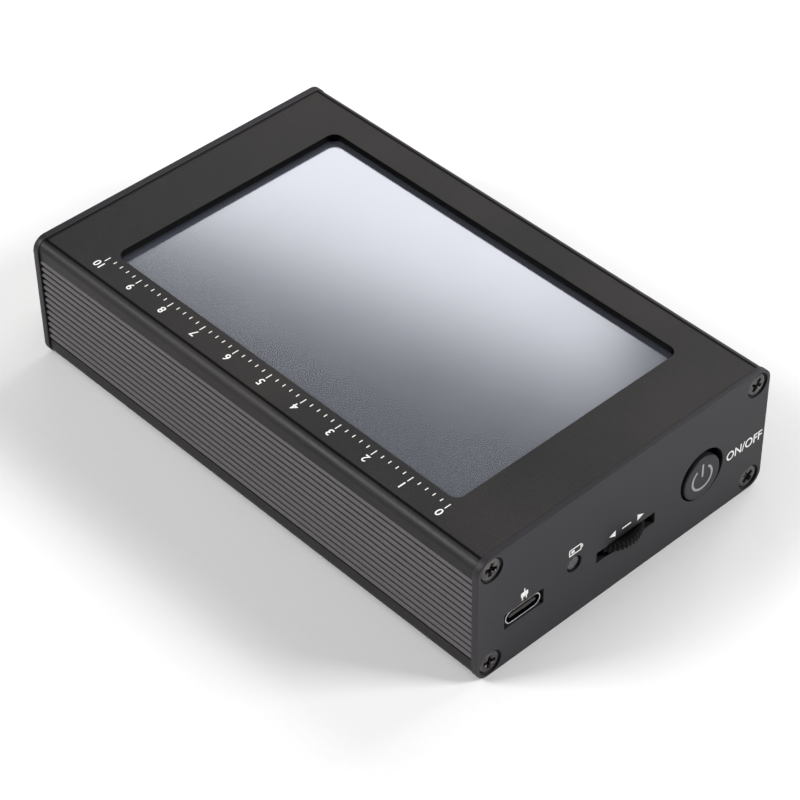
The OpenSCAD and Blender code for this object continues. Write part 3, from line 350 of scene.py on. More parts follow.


# Each finish: what the real material is, and what that gives the eye. base or prop: its colour, typed or
# taken from the properties; light: the colour that it wanders to, as far as tint says; grain, cloud: size of
# the fine and the slow pattern in mm; bump: height in mm; stretch: pattern drawn out along an axis; tracks:
# pitch of copper tracks in mm; crest_highlight: painted highlight colour on the ribs' crests; inner_shade:
# painted shade colour inside the socket; sockets: constants of the shader's own sockets; slot: the imported
# material slot, where it isn't the recipe's name.
RECIPES = {
    # Extruded aluminium, glass-bead blasted and black anodised: dull, with a sparkling highlight along
    # its rounded edges. The ribs' crests carry a painted highlight; the window's walls and the lines where
    # the top turns into the rounded edges are painted black as shade. Blasting grain is 0.1 mm; drawn at 0.34
    # mm so that it shows.
    "tube_metal": dict(name="Blasted black anodised aluminium", prop="tube", light="#272322",
                       rough=(0.44, 0.56), grain=0.34, cloud=40, tint=1.0, bump=0.035, crest_highlight="#5e595c"),
    # Cut aluminium sheet, finely brushed and dark anodised: smoother and a little violet.
    "plate_metal": dict(name="Satin dark anodised aluminium sheet", prop="plate", light="#2d2930",
                        rough=(0.46, 0.56), grain=0.25, cloud=40, tint=0.6, bump=0.006,
                        sockets={"Specular IOR Level": 0.4}),
    # Cold-headed steel with black zinc: dark, brighter in patches where it is rubbed.
    "dark_screws": dict(name="Black zinc plated steel", prop="screws", light="#7a7776", metallic=1.0,
                        rough=(0.17, 0.3), grain=0.35, cloud=3, tint=0.6, bump=0.006),
    # Die-cut closed-cell foam: matt black, fine open pores on its cut sides.
    "foam": dict(name="Black closed-cell foam", base="#1b1b1c", light="#2a2a2b", rough=(0.85, 0.98),
                 grain=0.25, cloud=5, tint=0.5, bump=0.05),
    # Conductive film over glass and an unlit display: slate grey; its oxide layers reflect a third. It has no
    # grain of its own, so the patterns are broad and faint.
    "touch_glass": dict(name="Hard-coated touch panel", prop="glass", light="#4e515b", rough=(0.145, 0.155),
                        grain=9, cloud=30, tint=0.25, bump=0.00004,
                        sockets={"IOR": 2.4, "Specular IOR Level": 1.0,
                                 "Specular Tint": (*linear("#f5f8ff"), 1)}),
    # Double-sided tape: dull black film with a faint paper grain.
    "tape": dict(name="Black acrylic tape", base="#1f1f1f", light="#2b2b2b", rough=(0.6, 0.75), grain=0.4,
                 cloud=4, tint=0.4, bump=0.008),
    # Tinned sheet steel, rolled: bright grey with faint rolling lines.
    "thin_steel": dict(name="Tinned rolled steel sheet", base="#b4b6b8", light="#cfd1d2", metallic=1.0,
                       rough=(0.24, 0.4), grain=0.3, cloud=6, tint=0.5, bump=0.003, stretch=(0.06, 1, 1)),
    # Polarised display glass: nearly black, glossy.
    "display_glass": dict(name="Polarised display glass", base="#1c1e22", light="#24262b", rough=(0.06, 0.1),
                          grain=0.5, cloud=20, tint=0.3, bump=0.0004, sockets={"IOR": 1.5}),
    # Moulded white thermoplastic: smooth, slightly warm.
    "white_plastic": dict(name="Moulded white thermoplastic", base="#dedcd6", light="#ebe9e3",
                          rough=(0.32, 0.42), grain=0.5, cloud=6, tint=0.4, bump=0.003),
    # Polyimide film: amber, satin, with a fine rolled grain.
    "amber_film": dict(name="Amber polyimide film", base="#a8651c", light="#c4822f", rough=(0.25, 0.36),
                       grain=0.4, cloud=3, tint=0.6, bump=0.003, stretch=(1, 0.15, 1)),
    # Glass-fibre laminate under green solder mask: copper tracks show as lighter green bands.
    "circuit_board": dict(name="Green masked circuit board", base="#164a2a", light="#23693c",
                          rough=(0.28, 0.4), grain=0.25, cloud=1.6, tint=1.0, bump=0.004, tracks=2.4),
    # Natural moulded nylon: cream, slightly waxy.
    "cream_plastic": dict(name="Moulded natural nylon", base="#d8cdb0", light="#e6dcc4", rough=(0.4, 0.52),
                          grain=0.4, cloud=4, tint=0.4, bump=0.004),
    # Moulded black thermoplastic with a fine spark-eroded texture.
    "black_plastic": dict(name="Moulded black thermoplastic", base="#1b1b1d", light="#262628",
                          rough=(0.4, 0.55), grain=0.25, cloud=5, tint=0.5, bump=0.008),
    # Epoxy moulding compound: charcoal, matt, sandy.
    "chips": dict(name="Moulded charcoal epoxy", base="#202022", light="#303033", rough=(0.55, 0.7),
                  grain=0.15, cloud=3, tint=0.6, bump=0.006),
    # Turned brass: warm yellow with fine turning lines.
    "brass": dict(name="Turned brass", base="#a98946", light="#c8aa66", metallic=1.0, rough=(0.2, 0.34),
                  grain=0.2, cloud=3, tint=0.4, bump=0.003, stretch=(1, 1, 0.1)),
    # Gold flashed over nickel on turned brass: bright, pale, a little worn on the crests.
    "gold": dict(name="Gold plated brass", base="#c99b3c", light="#e6c476", metallic=1.0,
                 rough=(0.16, 0.3), grain=0.25, cloud=2, tint=0.5, bump=0.002),
    # Fired barium titanate: buff, matt.
    "ceramic": dict(name="Fired buff ceramic", base="#a58a67", light="#bba17e", rough=(0.45, 0.6),
                    grain=0.12, cloud=1, tint=0.5, bump=0.003),
    # Pressed ferrite: dark grey, granular.
    "ferrite": dict(name="Pressed grey ferrite", base="#37373a", light="#4a4a4e", rough=(0.6, 0.75),
                    grain=0.18, cloud=2, tint=0.6, bump=0.01),
    # Aluminium laminate round a pouch cell: silvery, softly creased.
    "cell_foil": dict(name="Pouch cell aluminium laminate", base="#a9abae", light="#c6c8ca", metallic=0.85,
                      rough=(0.3, 0.45), grain=2.2, cloud=9, tint=0.5, bump=0.06),
    # Silicone lead insulation: soft red, dull.
    "lead_insulation": dict(name="Extruded silicone insulation", base="#8f1d1a", light="#a92a25",
                            rough=(0.5, 0.62), grain=0.3, cloud=3, tint=0.4, bump=0.003),
    # Deep-drawn stainless steel, tumbled: bright round the socket's rim, with painted shade darkening its
    # inside.
    "socket_steel": dict(name="Drawn stainless steel", base="#c3c5c7", light="#e2e3e4", metallic=1.0,
                         rough=(0.14, 0.28), grain=0.2, cloud=2, tint=0.4, bump=0.002, stretch=(0.1, 1, 1),
                         inner_shade="#3a3a3c"),
    # Diffusing epoxy lens of an unlit lamp: smoky, cloudy.
    "lamp_lens": dict(name="Smoky diffusing epoxy", base="#4a494d", light="#5d5b60", rough=(0.2, 0.3),
                      grain=0.3, cloud=1.5, tint=0.4, bump=0.002,
                      sockets={"IOR": 1.52, "Transmission Weight": 0.25}),
    # Moulded black nylon wheel: satin crests, dull roots.
    "wheel_plastic": dict(name="Moulded black nylon", base="#060607", light="#101011", rough=(0.4, 0.55),
                          grain=0.25, cloud=3, tint=0.5, bump=0.006, sockets={"Specular IOR Level": 0.15}),
    # Turned fluoropolymer: white, waxy.
    "ptfe": dict(name="Turned white fluoropolymer", base="#e4e3de", light="#efeeea", rough=(0.4, 0.5),
                 grain=0.3, cloud=3, tint=0.3, bump=0.003, sockets={"IOR": 1.35}),
    # Screen-printed white epoxy ink: matt, slightly uneven.
    "ink": dict(name="Screen-printed white ink", slot="plate_metal", prop="print", light="#ffffff",
                rough=(0.5, 0.62), grain=0.15, cloud=2, tint=0.4, bump=0.002),
    # Pad-printed grey ink on the cap.
    "sign_ink": dict(name="Pad-printed grey ink", slot="plate_metal", prop="sign", light="#a9a7a9",
                     rough=(0.45, 0.58), grain=0.15, cloud=2, tint=0.4, bump=0.002),
}


def between(tree, value, low, high, soft, top=1.0):
    """Mask of top where a value lies between two limits in mm, falling softly to 0 outside them.

    Top is a number or another mask, by which this one is multiplied.
    """
    rise = add(tree, "ShaderNodeMapRange", None,
               {"Value": value, "From Min": (low - soft) * MM, "From Max": low * MM, "To Max": top})
    fall = add(tree, "ShaderNodeMapRange", None,
               {"Value": value, "From Min": high * MM, "From Max": (high + soft) * MM,
                "To Min": rise.outputs[0], "To Max": 0.0})
    return fall.outputs[0]


def distance(tree, value, centre):
    """Distance of a coordinate from a centre in mm."""
    off = add(tree, "ShaderNodeMath", {"operation": "SUBTRACT"}, {0: value, 1: centre * MM})
    return add(tree, "ShaderNodeMath", {"operation": "ABSOLUTE"}, {0: off.outputs[0]}).outputs[0]


def tube_tone(tree, place, tone, crest_highlight):
    """Tube's colour and gloss.

    Painted highlight over the ribs' crests, duller on the plain strips above and below them, and painted
    black shade with little gloss on the window's walls and along the lines where the flat top turns into the
    rounded edges. Masks are products of |x|, |y| and |z| bands; these are never negative, so a low limit of
    -1 is none.
    """
    case = sizes()[0]
    low, high = span("case_tube")
    reach = ((case.rib_count - 1) * mm(case.rib_pitch) + mm(case.rib_width)) / 2
    along = add(tree, "ShaderNodeSeparateXYZ", None, {"Vector": place})
    x = distance(tree, along.outputs["X"], (low[0] + high[0]) / 2)
    y = distance(tree, along.outputs["Y"], 0)
    z = distance(tree, along.outputs["Z"], (low[2] + high[2]) / 2)
    skin, outside = high[1] - 0.1, high[1] + 1
    # Painted highlight: the ribs' outermost tenth of a millimetre is coloured lighter
    crest = between(tree, z, -1, reach - 0.05, 0.05, between(tree, y, skin, outside, 0.2))
    sunk = between(tree, z, -1, (high[2] - low[2]) / 2 - 0.05, 0.04)
    # Painted shade: the window's walls are coloured black
    wall = between(tree, x, -1, mm(case.window_length) / 2 + 0.12, 0.05,
                   between(tree, y, -1, mm(case.window_width) / 2 + 0.12, 0.05, sunk))
    turn = high[1] - mm(case.edge_radius)
    # Painted shade: a black band along the line where the flat top turns into each rounded edge
    line = between(tree, y, turn - 0.05, turn + 0.25, 0.3, 0.9)
    dark = add(tree, "ShaderNodeMath", {"operation": "MAXIMUM"}, {0: wall, 1: line}).outputs[0]
    strip = between(tree, z, reach + 0.1, high[2], 0.1, between(tree, y, skin, outside, 0.2, 0.35))
    dull = add(tree, "ShaderNodeMath", {"operation": "MAXIMUM"}, {0: dark, 1: strip}).outputs[0]
    gloss = add(tree, "ShaderNodeMapRange", None,
                {"Value": dull, "To Min": BLASTED_GLOSS, "To Max": PAINTED_SHADE_GLOSS}).outputs[0]
    # Painted highlight on the crests, then painted black shade on the walls and edge lines
    tone = add(tree, "ShaderNodeMix", {"data_type": "RGBA"},
               {"Factor": crest, COLOUR_A: tone, COLOUR_B: (*crest_highlight, 1)}).outputs[COLOUR_OUT]
    tone = add(tree, "ShaderNodeMix", {"data_type": "RGBA"},
               {"Factor": dark, COLOUR_A: tone, COLOUR_B: (*linear(PAINTED_SHADE_BLACK), 1)}).outputs[COLOUR_OUT]
    return tone, gloss


def finish(key):
    """Material of a recipe: two noise sizes move colour, roughness and height over Object coordinates."""
    recipe = RECIPES[key]
    if recipe["name"] in bpy.data.materials:
        return bpy.data.materials[recipe["name"]]
    material = bpy.data.materials.new(recipe["name"])
    material.use_nodes = True
    tree = material.node_tree
    shader = tree.nodes["Principled BSDF"]
    base = linear(recipe["base"]) if "base" in recipe else tuple(getattr(sizes()[3], recipe["prop"]))
    place = origin = add(tree, "ShaderNodeTexCoord").outputs["Object"]
    if "stretch" in recipe:
        place = add(tree, "ShaderNodeMapping", None, {"Vector": place, "Scale": recipe["stretch"]}).outputs[0]
    fine = add(tree, "ShaderNodeTexNoise", None,
               {"Vector": place, "Scale": 1 / (recipe["grain"] * MM), "Detail": 3.0, "Roughness": 0.6})
    slow = add(tree, "ShaderNodeTexNoise", None,
               {"Vector": place, "Scale": 1 / (recipe["cloud"] * MM), "Detail": 2.0})
    both = add(tree, "ShaderNodeMath", {"operation": "MULTIPLY_ADD"},
               {0: fine.outputs[0], 1: FINE_SHARE, 2: slow.outputs[0]}).outputs[0]
    share = add(tree, "ShaderNodeMapRange", None,
                {"Value": both, **NOISE_RANGE, "To Max": recipe["tint"]}).outputs[0]
    height = fine.outputs[0]
    if "tracks" in recipe:
        cells = add(tree, "ShaderNodeTexVoronoi", {"distance": "CHEBYCHEV", "feature": "F1"},
                    {"Vector": place, "Scale": 1 / (recipe["tracks"] * MM), "Randomness": 0.7})
        step = add(tree, "ShaderNodeMapRange", None,
                   {"Value": cells.outputs["Distance"], "From Min": 0.36, "From Max": 0.4}).outputs[0]
        share = add(tree, "ShaderNodeMath", {"operation": "MULTIPLY"}, {0: step, 1: 0.8}).outputs[0]
        height = add(tree, "ShaderNodeMath", {"operation": "MULTIPLY_ADD"},
                     {0: fine.outputs[0], 1: 0.3, 2: step}).outputs[0]
    tone = add(tree, "ShaderNodeMix", {"data_type": "RGBA"},
               {"Factor": share, COLOUR_A: (*base, 1),
                COLOUR_B: (*linear(recipe["light"]), 1)}).outputs[COLOUR_OUT]
    # Painted highlight on the tube's rib crests, painted black shade on its window walls and edge lines
    if "crest_highlight" in recipe:
        tone, gloss = tube_tone(tree, place, tone, linear(recipe["crest_highlight"]))
        tree.links.new(gloss, shader.inputs["Specular IOR Level"])
    # Painted shade: the socket shell is coloured darker inside, behind its front rim
    if "inner_shade" in recipe:
        face = add(tree, "ShaderNodeSeparateXYZ", None, {"Vector": origin}).outputs["X"]
        inside = between(tree, face, span("usb_shell")[0][0] + 0.1, 0, 0.1)
        tone = add(tree, "ShaderNodeMix", {"data_type": "RGBA"},
                   {"Factor": inside, COLOUR_A: tone,
                    COLOUR_B: (*linear(recipe["inner_shade"]), 1)}).outputs[COLOUR_OUT]
    low, high = recipe["rough"]
    rough = add(tree, "ShaderNodeMapRange", None,
                {"Value": both, **NOISE_RANGE, "To Min": low, "To Max": high})
    bump = add(tree, "ShaderNodeBump", None, {"Height": height, "Distance": recipe["bump"] * MM})
    tree.links.new(tone, shader.inputs["Base Color"])
    tree.links.new(rough.outputs[0], shader.inputs["Roughness"])
    tree.links.new(bump.outputs[0], shader.inputs["Normal"])
    shader.inputs["Metallic"].default_value = recipe.get("metallic", 0.0)
    for socket, value in recipe.get("sockets", {}).items():
        shader.inputs[socket].default_value = value
    return material


# Pieces of the case

def side_profile(case, low, high):
    """Right half of the tube's outline, from the top edge down to the bottom edge, as (y, z).

    A quarter arc, a flat strip, a row of ribs, a strip and a quarter arc. A rib's height falls from
    its crest with the fourth power of the distance from its middle.
    """
    r, pitch, depth = mm(case.edge_radius), mm(case.rib_pitch), mm(case.groove_depth)
    half, middle = high[1], (low[2] + high[2]) / 2
    t = np.linspace(pi / 2, 0, 13)
    arc = np.stack([half - r + r * np.cos(t), high[2] - r + r * np.sin(t)], -1)
    arc = np.insert(arc, 1, [half - r + 0.02 * r, high[2]], 0)
    w = mm(case.rib_width) / 2
    bulge = np.sin(np.linspace(-pi / 2, pi / 2, 13))
    rows = (np.arange(case.rib_count)[:, None] - (case.rib_count - 1) / 2) * pitch
    z = middle + rows + w * bulge
    y = np.broadcast_to(half - depth * bulge ** 4, z.shape)
    ribs = np.stack([y.ravel(), z.ravel()], -1)[::-1]
    edge = (case.rib_count - 1) * pitch / 2 + w
    foot = middle + edge
    strip = np.array([[half, high[2] - r - 0.04], [half, foot + 0.2], [half - 0.04, foot + 0.14],
                      [half - depth, foot + 0.1]])
    lower = strip[::-1] * [1, -1] + [0, 2 * middle]
    under = arc[::-1] * [1, -1] + [0, 2 * middle]
    return np.concatenate([arc, strip, ribs, lower, under])


def hollow_profile(case, low, high, upper):
    """Right half of the tube's hollow from the roof down to the floor, as (y, z).

    The half-width is a function of height: the inner wall, less two guide rails and the round screw
    channels, where the upper channel may be milled away. A rail starts at play from the board; step is
    the height over which its flanks jump.
    """
    play, rail_end, rail_reach, step = 0.2, 1.4, 1.6, 0.01
    channel_r, corner_r, curved = 2.5, 0.6, 4.2
    t = mm(case.wall)
    inner, roof, floor = high[1] - t, high[2] - t, low[2] + t
    board_low, board_top = span("main_board")[0][2], span("main_board")[1][2]
    flanks = np.array([rail_end, rail_end - step, play, play - step])
    z = np.concatenate([np.linspace(roof, roof - curved, 24),
                        np.linspace(board_top + 4, board_top + rail_end + step, 3),
                        board_top + flanks, board_low - flanks[::-1],
                        np.linspace(floor + curved, floor, 24)])
    above, below = z - board_top, board_low - z
    first, last = play - step / 2, rail_end - step / 2
    rail = ((above > first) & (above < last)) | ((below > first) & (below < last))
    y = np.where(rail, inner - rail_reach, inner)
    sy, sz = screw_axes()
    for centre in ((sz,) if upper else ()) + (low[2] + high[2] - sz,):
        chord = np.sqrt(np.clip(channel_r ** 2 - (z - centre) ** 2, 0, None))
        y = np.where(chord > 0, np.minimum(y, sy - chord), y)
    rise = np.clip(np.maximum(z - (roof - corner_r), floor + corner_r - z), 0, corner_r)
    return np.stack([np.minimum(y, inner - corner_r + np.sqrt(corner_r ** 2 - rise ** 2)), z], -1)


def build_tube():
    """Ribbed tube: outline and hollow carried along X, a top face lofted from window to edge.

    The window has n points to a corner, and its edge is rolled over by the lip.
    """
    case = sizes()[0]
    low, high = span("case_tube")
    x0, x1, roof = low[0], high[0], high[2] - mm(case.wall)
    mid, half = (x0 + x1) / 2, high[1] - mm(case.edge_radius)
    wl, ww, wr = mm(case.window_length), mm(case.window_width), mm(case.window_radius)
    n, lip = 13, 0.22
    window = rounded_loop(wl + 2 * lip, ww + 2 * lip, wr + lip, 4 * n)
    corner = window.reshape(4, n, 2)
    t = np.linspace(0, 1, n)
    first, second = np.clip(2 * t, 0, 1), np.clip(2 * t - 1, 0, 1)
    reach = np.array([(x1 - x0) / 2, half])
    sign = np.array([[1, 1], [-1, 1], [-1, -1], [1, -1]])
    # Border of the flat top: a corner's points are shared out along the two sides that meet there
    frame_loop = np.empty_like(corner)
    for k in range(4):
        a, b = (0, 1) if k % 2 == 0 else (1, 0)
        start, end = corner[k, 0], corner[k, -1]
        frame_loop[k, :, a] = sign[k, a] * reach[a] + (end[a] - sign[k, a] * reach[a]) * second
        frame_loop[k, :, b] = start[b] + (sign[k, b] * reach[b] - start[b]) * first
    outer = frame_loop.reshape(-1, 2)
    share = np.array([0, 0.012, 0.5, 0.985, 1])[:, None, None]
    top = lay(2, np.full(len(share), high[2]), window * (1 - share) + outer * share, (mid, 0))
    a = np.linspace(pi / 2, 0, 5)
    edge = wall(2, (mid, 0), wl, ww, wr, np.append(high[2] - lip + lip * np.sin(a), roof),
                np.append(-lip * (1 - np.cos(a)), 0), 4 * n)
    parts = [patch(top, wrap_columns=True), patch(edge, wrap_columns=True)]

    # Skin: the outline at every station that the border has on its long sides
    right = side_profile(case, low, high)
    profile = np.concatenate([right, right[::-1] * [-1, 1]])
    stations = np.unique(np.round(outer[np.abs(np.abs(outer[:, 1]) - half) < 1e-6][:, 0], 6)) + mid
    sweep = np.empty((len(stations), len(profile), 3))
    sweep[..., 0], sweep[..., 1:] = stations[:, None], profile
    parts.append(patch(sweep))

    # Hollow: whole at both ends, milled wider beside the display board
    full, milled = hollow_profile(case, low, high, True), hollow_profile(case, low, high, False)
    full, milled = (np.concatenate([p, p[::-1] * [-1, 1]]) for p in (full, milled))
    board_low, board_high = span("display_board")
    play = 0.5
    r0, r1 = board_low[0] - play, board_high[0] + play
    inside = np.empty((6, len(full), 3))
    inside[..., 0] = np.array([x0, r0, r0, r1, r1, x1])[:, None]
    inside[..., 1:] = np.stack([full, full, milled, milled, full, full])
    parts.append(patch(inside))
    roof_edge = np.concatenate([inside[:, 0], inside[::-1, -1]])
    parts.append(flat_fill([roof_edge, edge[-1]]))

    # End faces with the screws' tapped holes
    tap_r, tap_depth = 1.55, 9.2
    sy, sz = screw_axes()
    level = (low[2] + high[2]) / 2
    axes = [(s * sy, level + v * (sz - level)) for s in (-1, 1) for v in (-1, 1)]
    ring = outer[np.abs(np.abs(outer[:, 0]) - reach[0]) < 1e-6]
    for x, way in ((x0, 1), (x1, -1)):
        across = np.unique(np.round(ring[ring[:, 0] * way < 0][:, 1], 6))
        lid = np.concatenate([profile, np.stack([across, np.full(len(across), high[2])], -1)[1:-1]])
        holes = [rounded_loop(2 * tap_r, 2 * tap_r, tap_r, 24) + c for c in axes]
        flat = [np.insert(p, 0, x, 1) for p in [lid, full] + holes]
        parts.append(flat_fill(flat))
        for hole in holes:
            tunnel = np.stack([np.insert(hole, 0, v, 1) for v in (x, x + way * tap_depth)])
            parts += [patch(tunnel, wrap_columns=True), flat_fill([tunnel[1]])]
    make_piece("ribbed_tube", parts, "case", "tube_metal", ["case_tube"], sharp=32)


def sunk_hole(centre, face, way, plate_t):
    """Countersunk hole: a short cylinder, a cone and a bore, given by levels and radii.

    Its rows are a circle of radius full, drawn in to their own radii.
    """
    full = 3
    levels, radii = np.array([(0, COUNTERSINK_R), (0, 2.74), (0.04, 2.71), (0.5, 2.7), (plate_t - 0.02, 1.6),
                              (plate_t, 1.6), (plate_t, 1.65)]).T
    return wall(0, centre, 2 * full, 2 * full, full, face + way * levels, full - radii, 48)


def build_plate(name, node, face, way, holes):
    """End plate: a rounded rectangle with soft rims.

    Every hole is a wall of its own, given by (y, z), width, height, corner radius and broken edge; the
    faces are filled flat.
    """
    case = sizes()[0]
    low, high = span(node)
    t = high[0] - low[0]
    centre = middle_yz(low, high)
    back = face + way * t
    walls = [wall(0, centre, high[1] - low[1], high[2] - low[2], mm(case.plate_radius),
                  *soft_rows(face, back, mm(case.softening), 0.15, 0.02))]
    sy, sz = screw_axes()
    for y in (-sy, sy):
        for z in (2 * centre[1] - sz, sz):
            walls.append(sunk_hole((y, z), face, way, t))
    for (y, z), w, h, r, soft in holes:
        levels, insets = soft_rows(face, back, soft, 0.03)
        walls.append(wall(0, (y, z), w, h, r, levels, -insets, 64))
    parts = [patch(g, wrap_columns=True) for g in walls]
    parts += [flat_fill([g[i] for g in walls]) for i in (0, -1)]
    make_piece(name, parts, "case", "plate_metal", [node], sharp=34)


def build_plates():
    """Control plate with its cut-outs, and connector plate with its two jack holes."""
    near, far = span("control_end_plate")[0][0], span("connector_end_plate")[1][0]
    socket = middle_yz(*span("usb_shell"))
    lamp = middle_yz(*span("charge_led"))
    cap_y, cap_z = middle_yz(*span("power_button"))
    cap_drop = 0.75  # the cap sits low in its hole, as in the photograph
    slot_top, slot_height = span("thumb_wheel")[1][2] + 0.25, 2.65
    build_plate("control_plate", "control_end_plate", near, 1, [
        (socket, 9.9, 3.76, 0.25, 0.05),
        (lamp, 3.7, 3.7, 1.85, 0.06),
        ((cap_y, cap_z + cap_drop), 11.6, 11.6, 5.8, 0.1),
        ((0, slot_top - slot_height / 2), 15.5, slot_height, 0.3, 0.06)])
    jack_z = middle_yz(*span("jack_nuts"))[1]
    jack_y = span("jack_washers")[1][1] - WASHER_R
    build_plate("connector_plate", "connector_end_plate", far, -1,
                [((s * jack_y, jack_z), 6.55, 6.55, 3.27, 0.06) for s in (-1, 1)])


def screw(face, way):
    """Countersunk cross-head screw on the X axis: a disc grid with a cross-shaped pit, a cone, and a shank.

    A square grid is bent to a disc by u = s sqrt(1 - t^2/2), v = t sqrt(1 - s^2/2). The pit's depth
    is a ramp of the distance to the cross's edge, deepest in the middle and less by end_rise where its
    wings end. The thread's radius falls with a triangle wave of (distance / pitch - angle / turn).
    """
    r, half, reach = 2.32, mm(sizes()[1].cross_width) / 2, 1.5
    side_ramp, end_ramp, deepest, end_rise = 0.16, 0.3, 1.3, 0.6
    rim_drop, rim_width = 0.12, 0.2
    pitch, crest, thread = 0.5, 1.48, 0.27
    marks = np.array([0, half - side_ramp, half, half + 0.08, 0.85, 1.15, reach - end_ramp, reach,
                      reach + 0.1, 1.85, 2.1, 2.22, r])
    s = np.concatenate([-marks[:0:-1], marks]) / r
    s, t = np.meshgrid(s, s, indexing="ij")
    u, v = s * np.sqrt(1 - t ** 2 / 2) * r, t * np.sqrt(1 - s ** 2 / 2) * r
    pit = np.zeros_like(u)
    for a, b in ((np.abs(u), np.abs(v)), (np.abs(v), np.abs(u))):
        inside = np.clip(np.minimum((half - b) / side_ramp, (reach - a) / end_ramp), 0, 1)
        pit = np.maximum(pit, inside * (deepest - end_rise * np.clip(a / reach, 0, 1)))
    rim = rim_drop * np.clip((np.hypot(u, v) - r + rim_width) / rim_width, 0, 1)
    top = np.stack([face + way * (pit + rim), u, v], -1)
    disc, k = np.stack([u, v], -1), len(u) - 1
    border = np.concatenate([disc[:k, 0], disc[k, :k], disc[:0:-1, k], disc[0, :0:-1]]) / r
    angle = np.arctan2(border[:, 1], border[:, 0]) / (2 * pi)
    depth = np.arange(1.45, 7.6, pitch / 4)
    turn = np.abs((depth[:, None] / pitch - angle) % 1 - 0.5) * 2
    shank = crest - thread * turn
    levels = np.concatenate([[rim_drop, 0.28, 1.3], depth, [7.75]])
    radii = np.concatenate([np.full((3, len(angle)), 1.0) * [[r], [r - 0.02], [1.52]], shank,
                            np.full((1, len(angle)), 1.0)])
    side = lay(0, face + way * levels, border * radii[..., None], (0, 0))
    return [patch(top), patch(side, wrap_columns=True), flat_fill([side[-1]])]


def build_screws():
    """Four countersunk screws in each end plate, each turned a little differently."""
    sy, sz = screw_axes()
    bottom = span("control_plate_screws")[0][2] + COUNTERSINK_R
    angles = (38, 14, 8, 52)
    for name, node, way in (("control_screws", "control_plate_screws", 1),
                            ("connector_screws", "connector_plate_screws", -1)):
        face = span(node)[0][0] if way > 0 else span(node)[1][0]
        parts = []
        for i, (y, z) in enumerate(((-sy, sz), (sy, sz), (sy, bottom), (-sy, bottom))):
            a = radians(angles[i])
            spin = np.array([[1, 0, 0], [0, cos(a), sin(a)], [0, -sin(a), cos(a)]])
            parts += [(points @ spin + [0, y, z], faces) for points, faces in screw(face, way)]
        make_piece(name, parts, "case", "dark_screws", [node], sharp=40)


def build_screen():
    """Touch panel: a thin slab with softened rims under the window."""
    low, high = span("touch_panel")
    corner_r, soft = 0.6, 0.12
    parts = soft_block(2, ((low[0] + high[0]) / 2, 0), high[0] - low[0], high[1] - low[1], corner_r,
                       high[2], low[2], soft, soft)
    make_piece("touch_panel_face", parts, "case", "touch_glass", ["touch_panel"])


# Controls

def build_wheel():
    """Knurled wheel: radius = rim minus a round groove where the angle is near a groove's centre.

    A row of its section is a level, a radius and the share of the groove that is cut there.
    """
    controls = sizes()[1]
    low, high = span("thumb_wheel")
    r, t = max(high[1] - low[1], high[0] - low[0]) / 2, high[2] - low[2]
    centre = (high[0] - r, 0)
    a = np.linspace(0, 2 * pi, controls.knurl_count * 12, endpoint=False)
    pitch = 2 * pi / controls.knurl_count
    off = np.abs((a / pitch + 0.5) % 1 - 0.5) * pitch * r
    depth = mm(controls.knurl_depth)
    groove = np.sqrt(np.clip(depth ** 2 - off ** 2, 0, None))
    bore, dish = 1.05, 0.12
    z, rad, cut = np.array([
        (0, bore, 0), (0, 5.6, 0),
        (0, r - 0.32, 0.6), (0.02, r - 0.26, 0.8), (0.12, r - 0.1, 1), (0.28, r, 1),
        (t / 2, r, 1),
        (t - 0.28, r, 1), (t - 0.12, r - 0.1, 1), (t - 0.02, r - 0.26, 0.8), (t, r - 0.32, 0.6),
        (t, 6.2, 0), (t, 6.0, 0), (t - dish, 5.8, 0), (t - dish, bore, 0)]).T
    radius = rad[:, None] - cut[:, None] * groove
    loops = radius[..., None] * np.stack([np.cos(a), np.sin(a)], -1)
    parts = [patch(lay(2, low[2] + z, loops, centre), wrap_rows=True, wrap_columns=True)]
    make_piece("knurled_wheel", parts, "thumb_wheel", "wheel_plastic", ["thumb_wheel"], sharp=45)


def build_power_cap():
    """Power cap turned about X with a soft rim and a shallow dish; its sign is an open ring and a bar.

    The plunger's bore opens at the back. The ring's gap is the angle left open on each side of the bar;
    the ink fills the dish.
    """
    controls = sizes()[1]
    low, high = span("power_button")
    centre, r = middle_yz(low, high), (high[1] - low[1]) / 2
    s, face, back = mm(controls.cap_softening), low[0], high[0]
    dish, flat_rim, bevel, bore, bore_depth = 0.1, 0.1, 0.1, 1.55, 1.4
    q, a = np.linspace(0, 1, 7), np.linspace(0, pi / 2, 6)
    hollow = np.stack([face + dish * (1 - q * q), q * (r - s - flat_rim)], -1)
    rim = np.stack([face + s * (1 - np.cos(a)), r - s + s * np.sin(a)], -1)
    rear = [(back - bevel, r), (back, r - bevel), (back, bore), (back - bore_depth, bore),
            (back - bore_depth, 0)]
    profile = np.concatenate([hollow, rim, rear])
    make_piece("power_cap", [turned(0, centre, profile, 96)], "power_button", "plate_metal",
               ["power_button"])
    ring, gap, bar_foot, bar_top = 2.65, 38, 0.5, 3.25
    t = np.linspace(radians(90 + gap), radians(450 - gap), 72)
    arc = np.stack([ring * np.cos(t), ring * np.sin(t)], -1) + centre
    bar = np.stack([np.zeros(8), np.linspace(bar_foot, bar_top, 8)], -1) + centre
    outlines = [[stroke(line, mm(controls.sign_stroke))] for line in (arc, bar)]
    parts = stamp(0, face + dish, -dish, outlines)
    make_piece("power_sign", parts, "power_button", "sign_ink")


